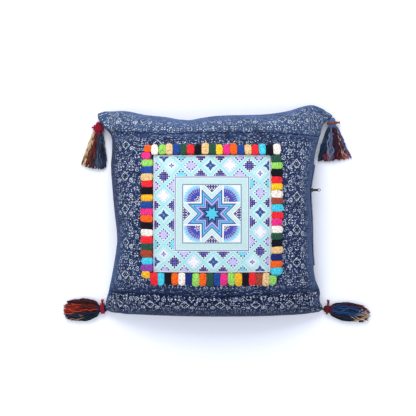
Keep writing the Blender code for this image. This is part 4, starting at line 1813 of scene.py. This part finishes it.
@dataclass
class Zip:
    """The zip in the right side: its tape and coil, its slider and its pull with a ring."""

    pitch: float = 2.4 * MM
    tooth: tuple[float, float, float] = (1.2 * MM, 1.4 * MM, 4.2 * MM)
    tape_colour: str = "#3f5580"
    eye_radius: float = 2.4 * MM
    eye_wire: float = 0.6 * MM
    tab_wide: float = 5.2 * MM
    tab_thick: float = 1.5 * MM

    def build(self) -> None:
        """Make the tape with its teeth, then the slider and the pull."""
        self.build_tape()
        self.build_teeth()
        self.build_slider()
        self.build_pull()

    def build_tape(self) -> None:
        """The tape from its CAD solid, with its edges eased."""
        tape = copy_node("zip_tape", "zip_tape_woven")
        edit(tape, bpy.ops.mesh.remove_doubles, threshold=0.01 * MM)
        edit(tape, bpy.ops.mesh.tris_convert_to_quads)
        apply_modifier(tape, "BEVEL", width=0.3 * MM, segments=2, limit_method="ANGLE")
        put_on(tape, PlainFinish("woven_polyester_tape", 0.85, colour=self.tape_colour).build())
        ride_and_report(tape, "zip_tape", "zip_tape")

    def build_teeth(self) -> None:
        """A row of teeth along the tape's middle, left out where the slider is."""
        outer = sorted({y: x for x, y, _ in sorted(tape_points())}.items())
        low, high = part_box("zip_tape")
        slider_low, slider_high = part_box("zip_slider")
        tooth = self.make_block(self.tooth)
        apply_modifier(tooth, "BEVEL", width=0.3 * MM, segments=2)
        teeth = []
        y = low[1] + 2 * MM
        while y < high[1] - 2 * MM:
            if not slider_low[1] - 1 * MM < y < slider_high[1] + 1 * MM:
                x = float(np.interp(y, *zip(*outer))) + 0.9 * MM
                teeth.append(twin(tooth))
                teeth[-1].data.transform(Matrix.Translation((x, y, self.middle_height(y))))
            y += self.pitch
        bpy.data.objects.remove(tooth, do_unlink=True)
        coil = join(teeth, "zip_teeth")
        put_on(coil, PlainFinish("moulded_nylon_teeth", 0.5, colour=self.tape_colour).build())
        ride_and_report(coil, "zip_enamel")

    def middle_height(self, y: float) -> float:
        """How high the tape's middle is near this place."""
        heights = [height for _, near, height in tape_points() if abs(near - y) < 12 * MM]
        low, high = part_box("zip_tape")
        return (min(heights) + max(heights)) / 2 if heights else (low[2] + high[2]) / 2

    def make_block(self, size: tuple[float, float, float], cuts: int = 0) -> bpy.types.Object:
        """A block round the origin, cut into smaller faces if asked.

        Args:
            size: its three sides.
            cuts: how many times each edge is cut.

        Returns:
            The block.
        """
        block = add_shape(bpy.ops.mesh.primitive_cube_add, size=1.0)
        block.scale = size
        settle(block)
        if cuts:
            edit(block, bpy.ops.mesh.subdivide, number_cuts=cuts)
        return block

    def build_slider(self) -> None:
        """The slider: a waisted body."""
        low, high = (Vector(corner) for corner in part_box("zip_slider"))
        size = high - low
        body = self.make_block(size, cuts=3)
        places = points_of(body)
        share = places[:, 1] / (size.y / 2)
        places[:, 2] *= 0.72 + 0.28 * share**2
        places[:, 0] *= np.where(places[:, 0] > 0, 0.8 + 0.2 * (1 - share**2), 1.0)
        move_points(body, places)
        apply_modifier(body, "BEVEL", width=0.5 * MM, segments=3, limit_method="ANGLE")
        body.data.transform(Matrix.Translation((low + high) / 2))
        body.name = "zip_slider_body"
        put_on(body, PlainFinish("black_enamelled_slider", 0.32, colour="#101116").build())
        smooth(body, angle=40)
        ride_and_report(body, "zip_enamel", "zip_slider")

    def build_pull(self) -> None:
        """The flat tab, and the dark metal ring through its end."""
        low, high = (Vector(corner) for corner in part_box("zip_pull"))
        middle = (low + high) / 2
        tab_end = high.x - 2 * self.eye_radius
        length = tab_end - low.x
        tab = self.make_block((length, self.tab_wide, self.tab_thick), cuts=3)
        places = points_of(tab)
        places[:, 1] *= 0.86 + 0.14 * np.abs(places[:, 0] / (length / 2))
        move_points(tab, places)
        apply_modifier(tab, "BEVEL", width=0.35 * MM, segments=3, limit_method="ANGLE")
        tab.data.transform(Matrix.Translation(((low.x + tab_end) / 2, middle.y, middle.z)))
        put_on(tab, PlainFinish("black_enamelled_pull", 0.3, colour="#0d0e12").build())
        eye = add_shape(
            bpy.ops.mesh.primitive_torus_add,
            major_radius=self.eye_radius,
            minor_radius=self.eye_wire,
            major_segments=32,
            minor_segments=10,
            location=(high.x - self.eye_radius - self.eye_wire, middle.y, middle.z),
        )
        settle(eye)
        put_on(eye, PlainFinish("blackened_steel_ring", 0.35, metallic=0.7, colour="#2c2d33").build())
        pull = join([tab, eye], "zip_pull_tab")
        smooth(pull, angle=40)
        ride_and_report(pull, "zip_enamel", "zip_pull")


# The studio


@dataclass
class Studio:
    """A pale floor, soft light from above and behind, and the camera straight over the cushion."""

    camera_at: tuple[float, float, float] = (-12 * MM, 14 * MM, 2.045)
    field_width: float = 832 * MM
    field_distance: float = 2.0
    sensor: float = 36.0
    sky: str = "#e9efff"
    sky_strength: float = 0.92

    def build(self) -> None:
        """Add the floor, the lights, the sky and the camera."""
        bpy.context.scene.view_settings.view_transform = "Standard"
        self.add_floor()
        self.add_lamp("key", (-0.25, 1.75, 1.9), 1.5, 42.0)
        self.add_lamp("fill", (-0.8, -1.0, 1.9), 1.8, 12.0)
        world = bpy.data.worlds.new("pale_sky")
        bpy.context.scene.world = world
        world.use_nodes = True
        light = world.node_tree.nodes["Background"]
        light.inputs["Color"].default_value = linear(self.sky)
        light.inputs["Strength"].default_value = self.sky_strength
        lens = bpy.data.cameras.new("over_the_cushion")
        lens.sensor_width = self.sensor
        lens.sensor_fit = "HORIZONTAL"
        lens.lens = self.sensor * self.field_distance / self.field_width
        lens.clip_start = 0.05
        camera = link(bpy.data.objects.new("camera", lens))
        camera.location = self.camera_at
        bpy.context.scene.camera = camera

    def add_floor(self) -> None:
        """A matt white floor under everything."""
        floor = add_shape(bpy.ops.mesh.primitive_plane_add, size=8.0, location=(0, 0, -0.4 * MM))
        floor.name = "studio_floor"
        settle(floor)
        board = PlainFinish("matt_white_board", 0.9, colour="#f4f5f9", grain=60.0, depth=0.02)
        put_on(floor, board.build())

    def add_lamp(self, name: str, place: tuple[float, float, float], size: float, power: float) -> None:
        """Add a square soft light that faces the cushion.

        Args:
            name: the light's name.
            place: where it hangs.
            size: its side.
            power: its power in watts.
        """
        light = bpy.data.lights.new(name, "AREA")
        light.size = size
        light.energy = power
        lamp = link(bpy.data.objects.new(name, light))
        lamp.location = place
        lamp.rotation_euler = (-Vector(place)).to_track_quat("-Z", "Y").to_euler()


def main() -> None:
    """Build every piece in order, then the studio."""
    cover = Cover()
    cover.build()
    Panel(cover.skin).build()
    Pompoms(cover.skin).build()
    for tassel in TASSELS:
        tassel.build()
    Zip().build()
    Studio().build()


if __name__ == "__main__":
    main()
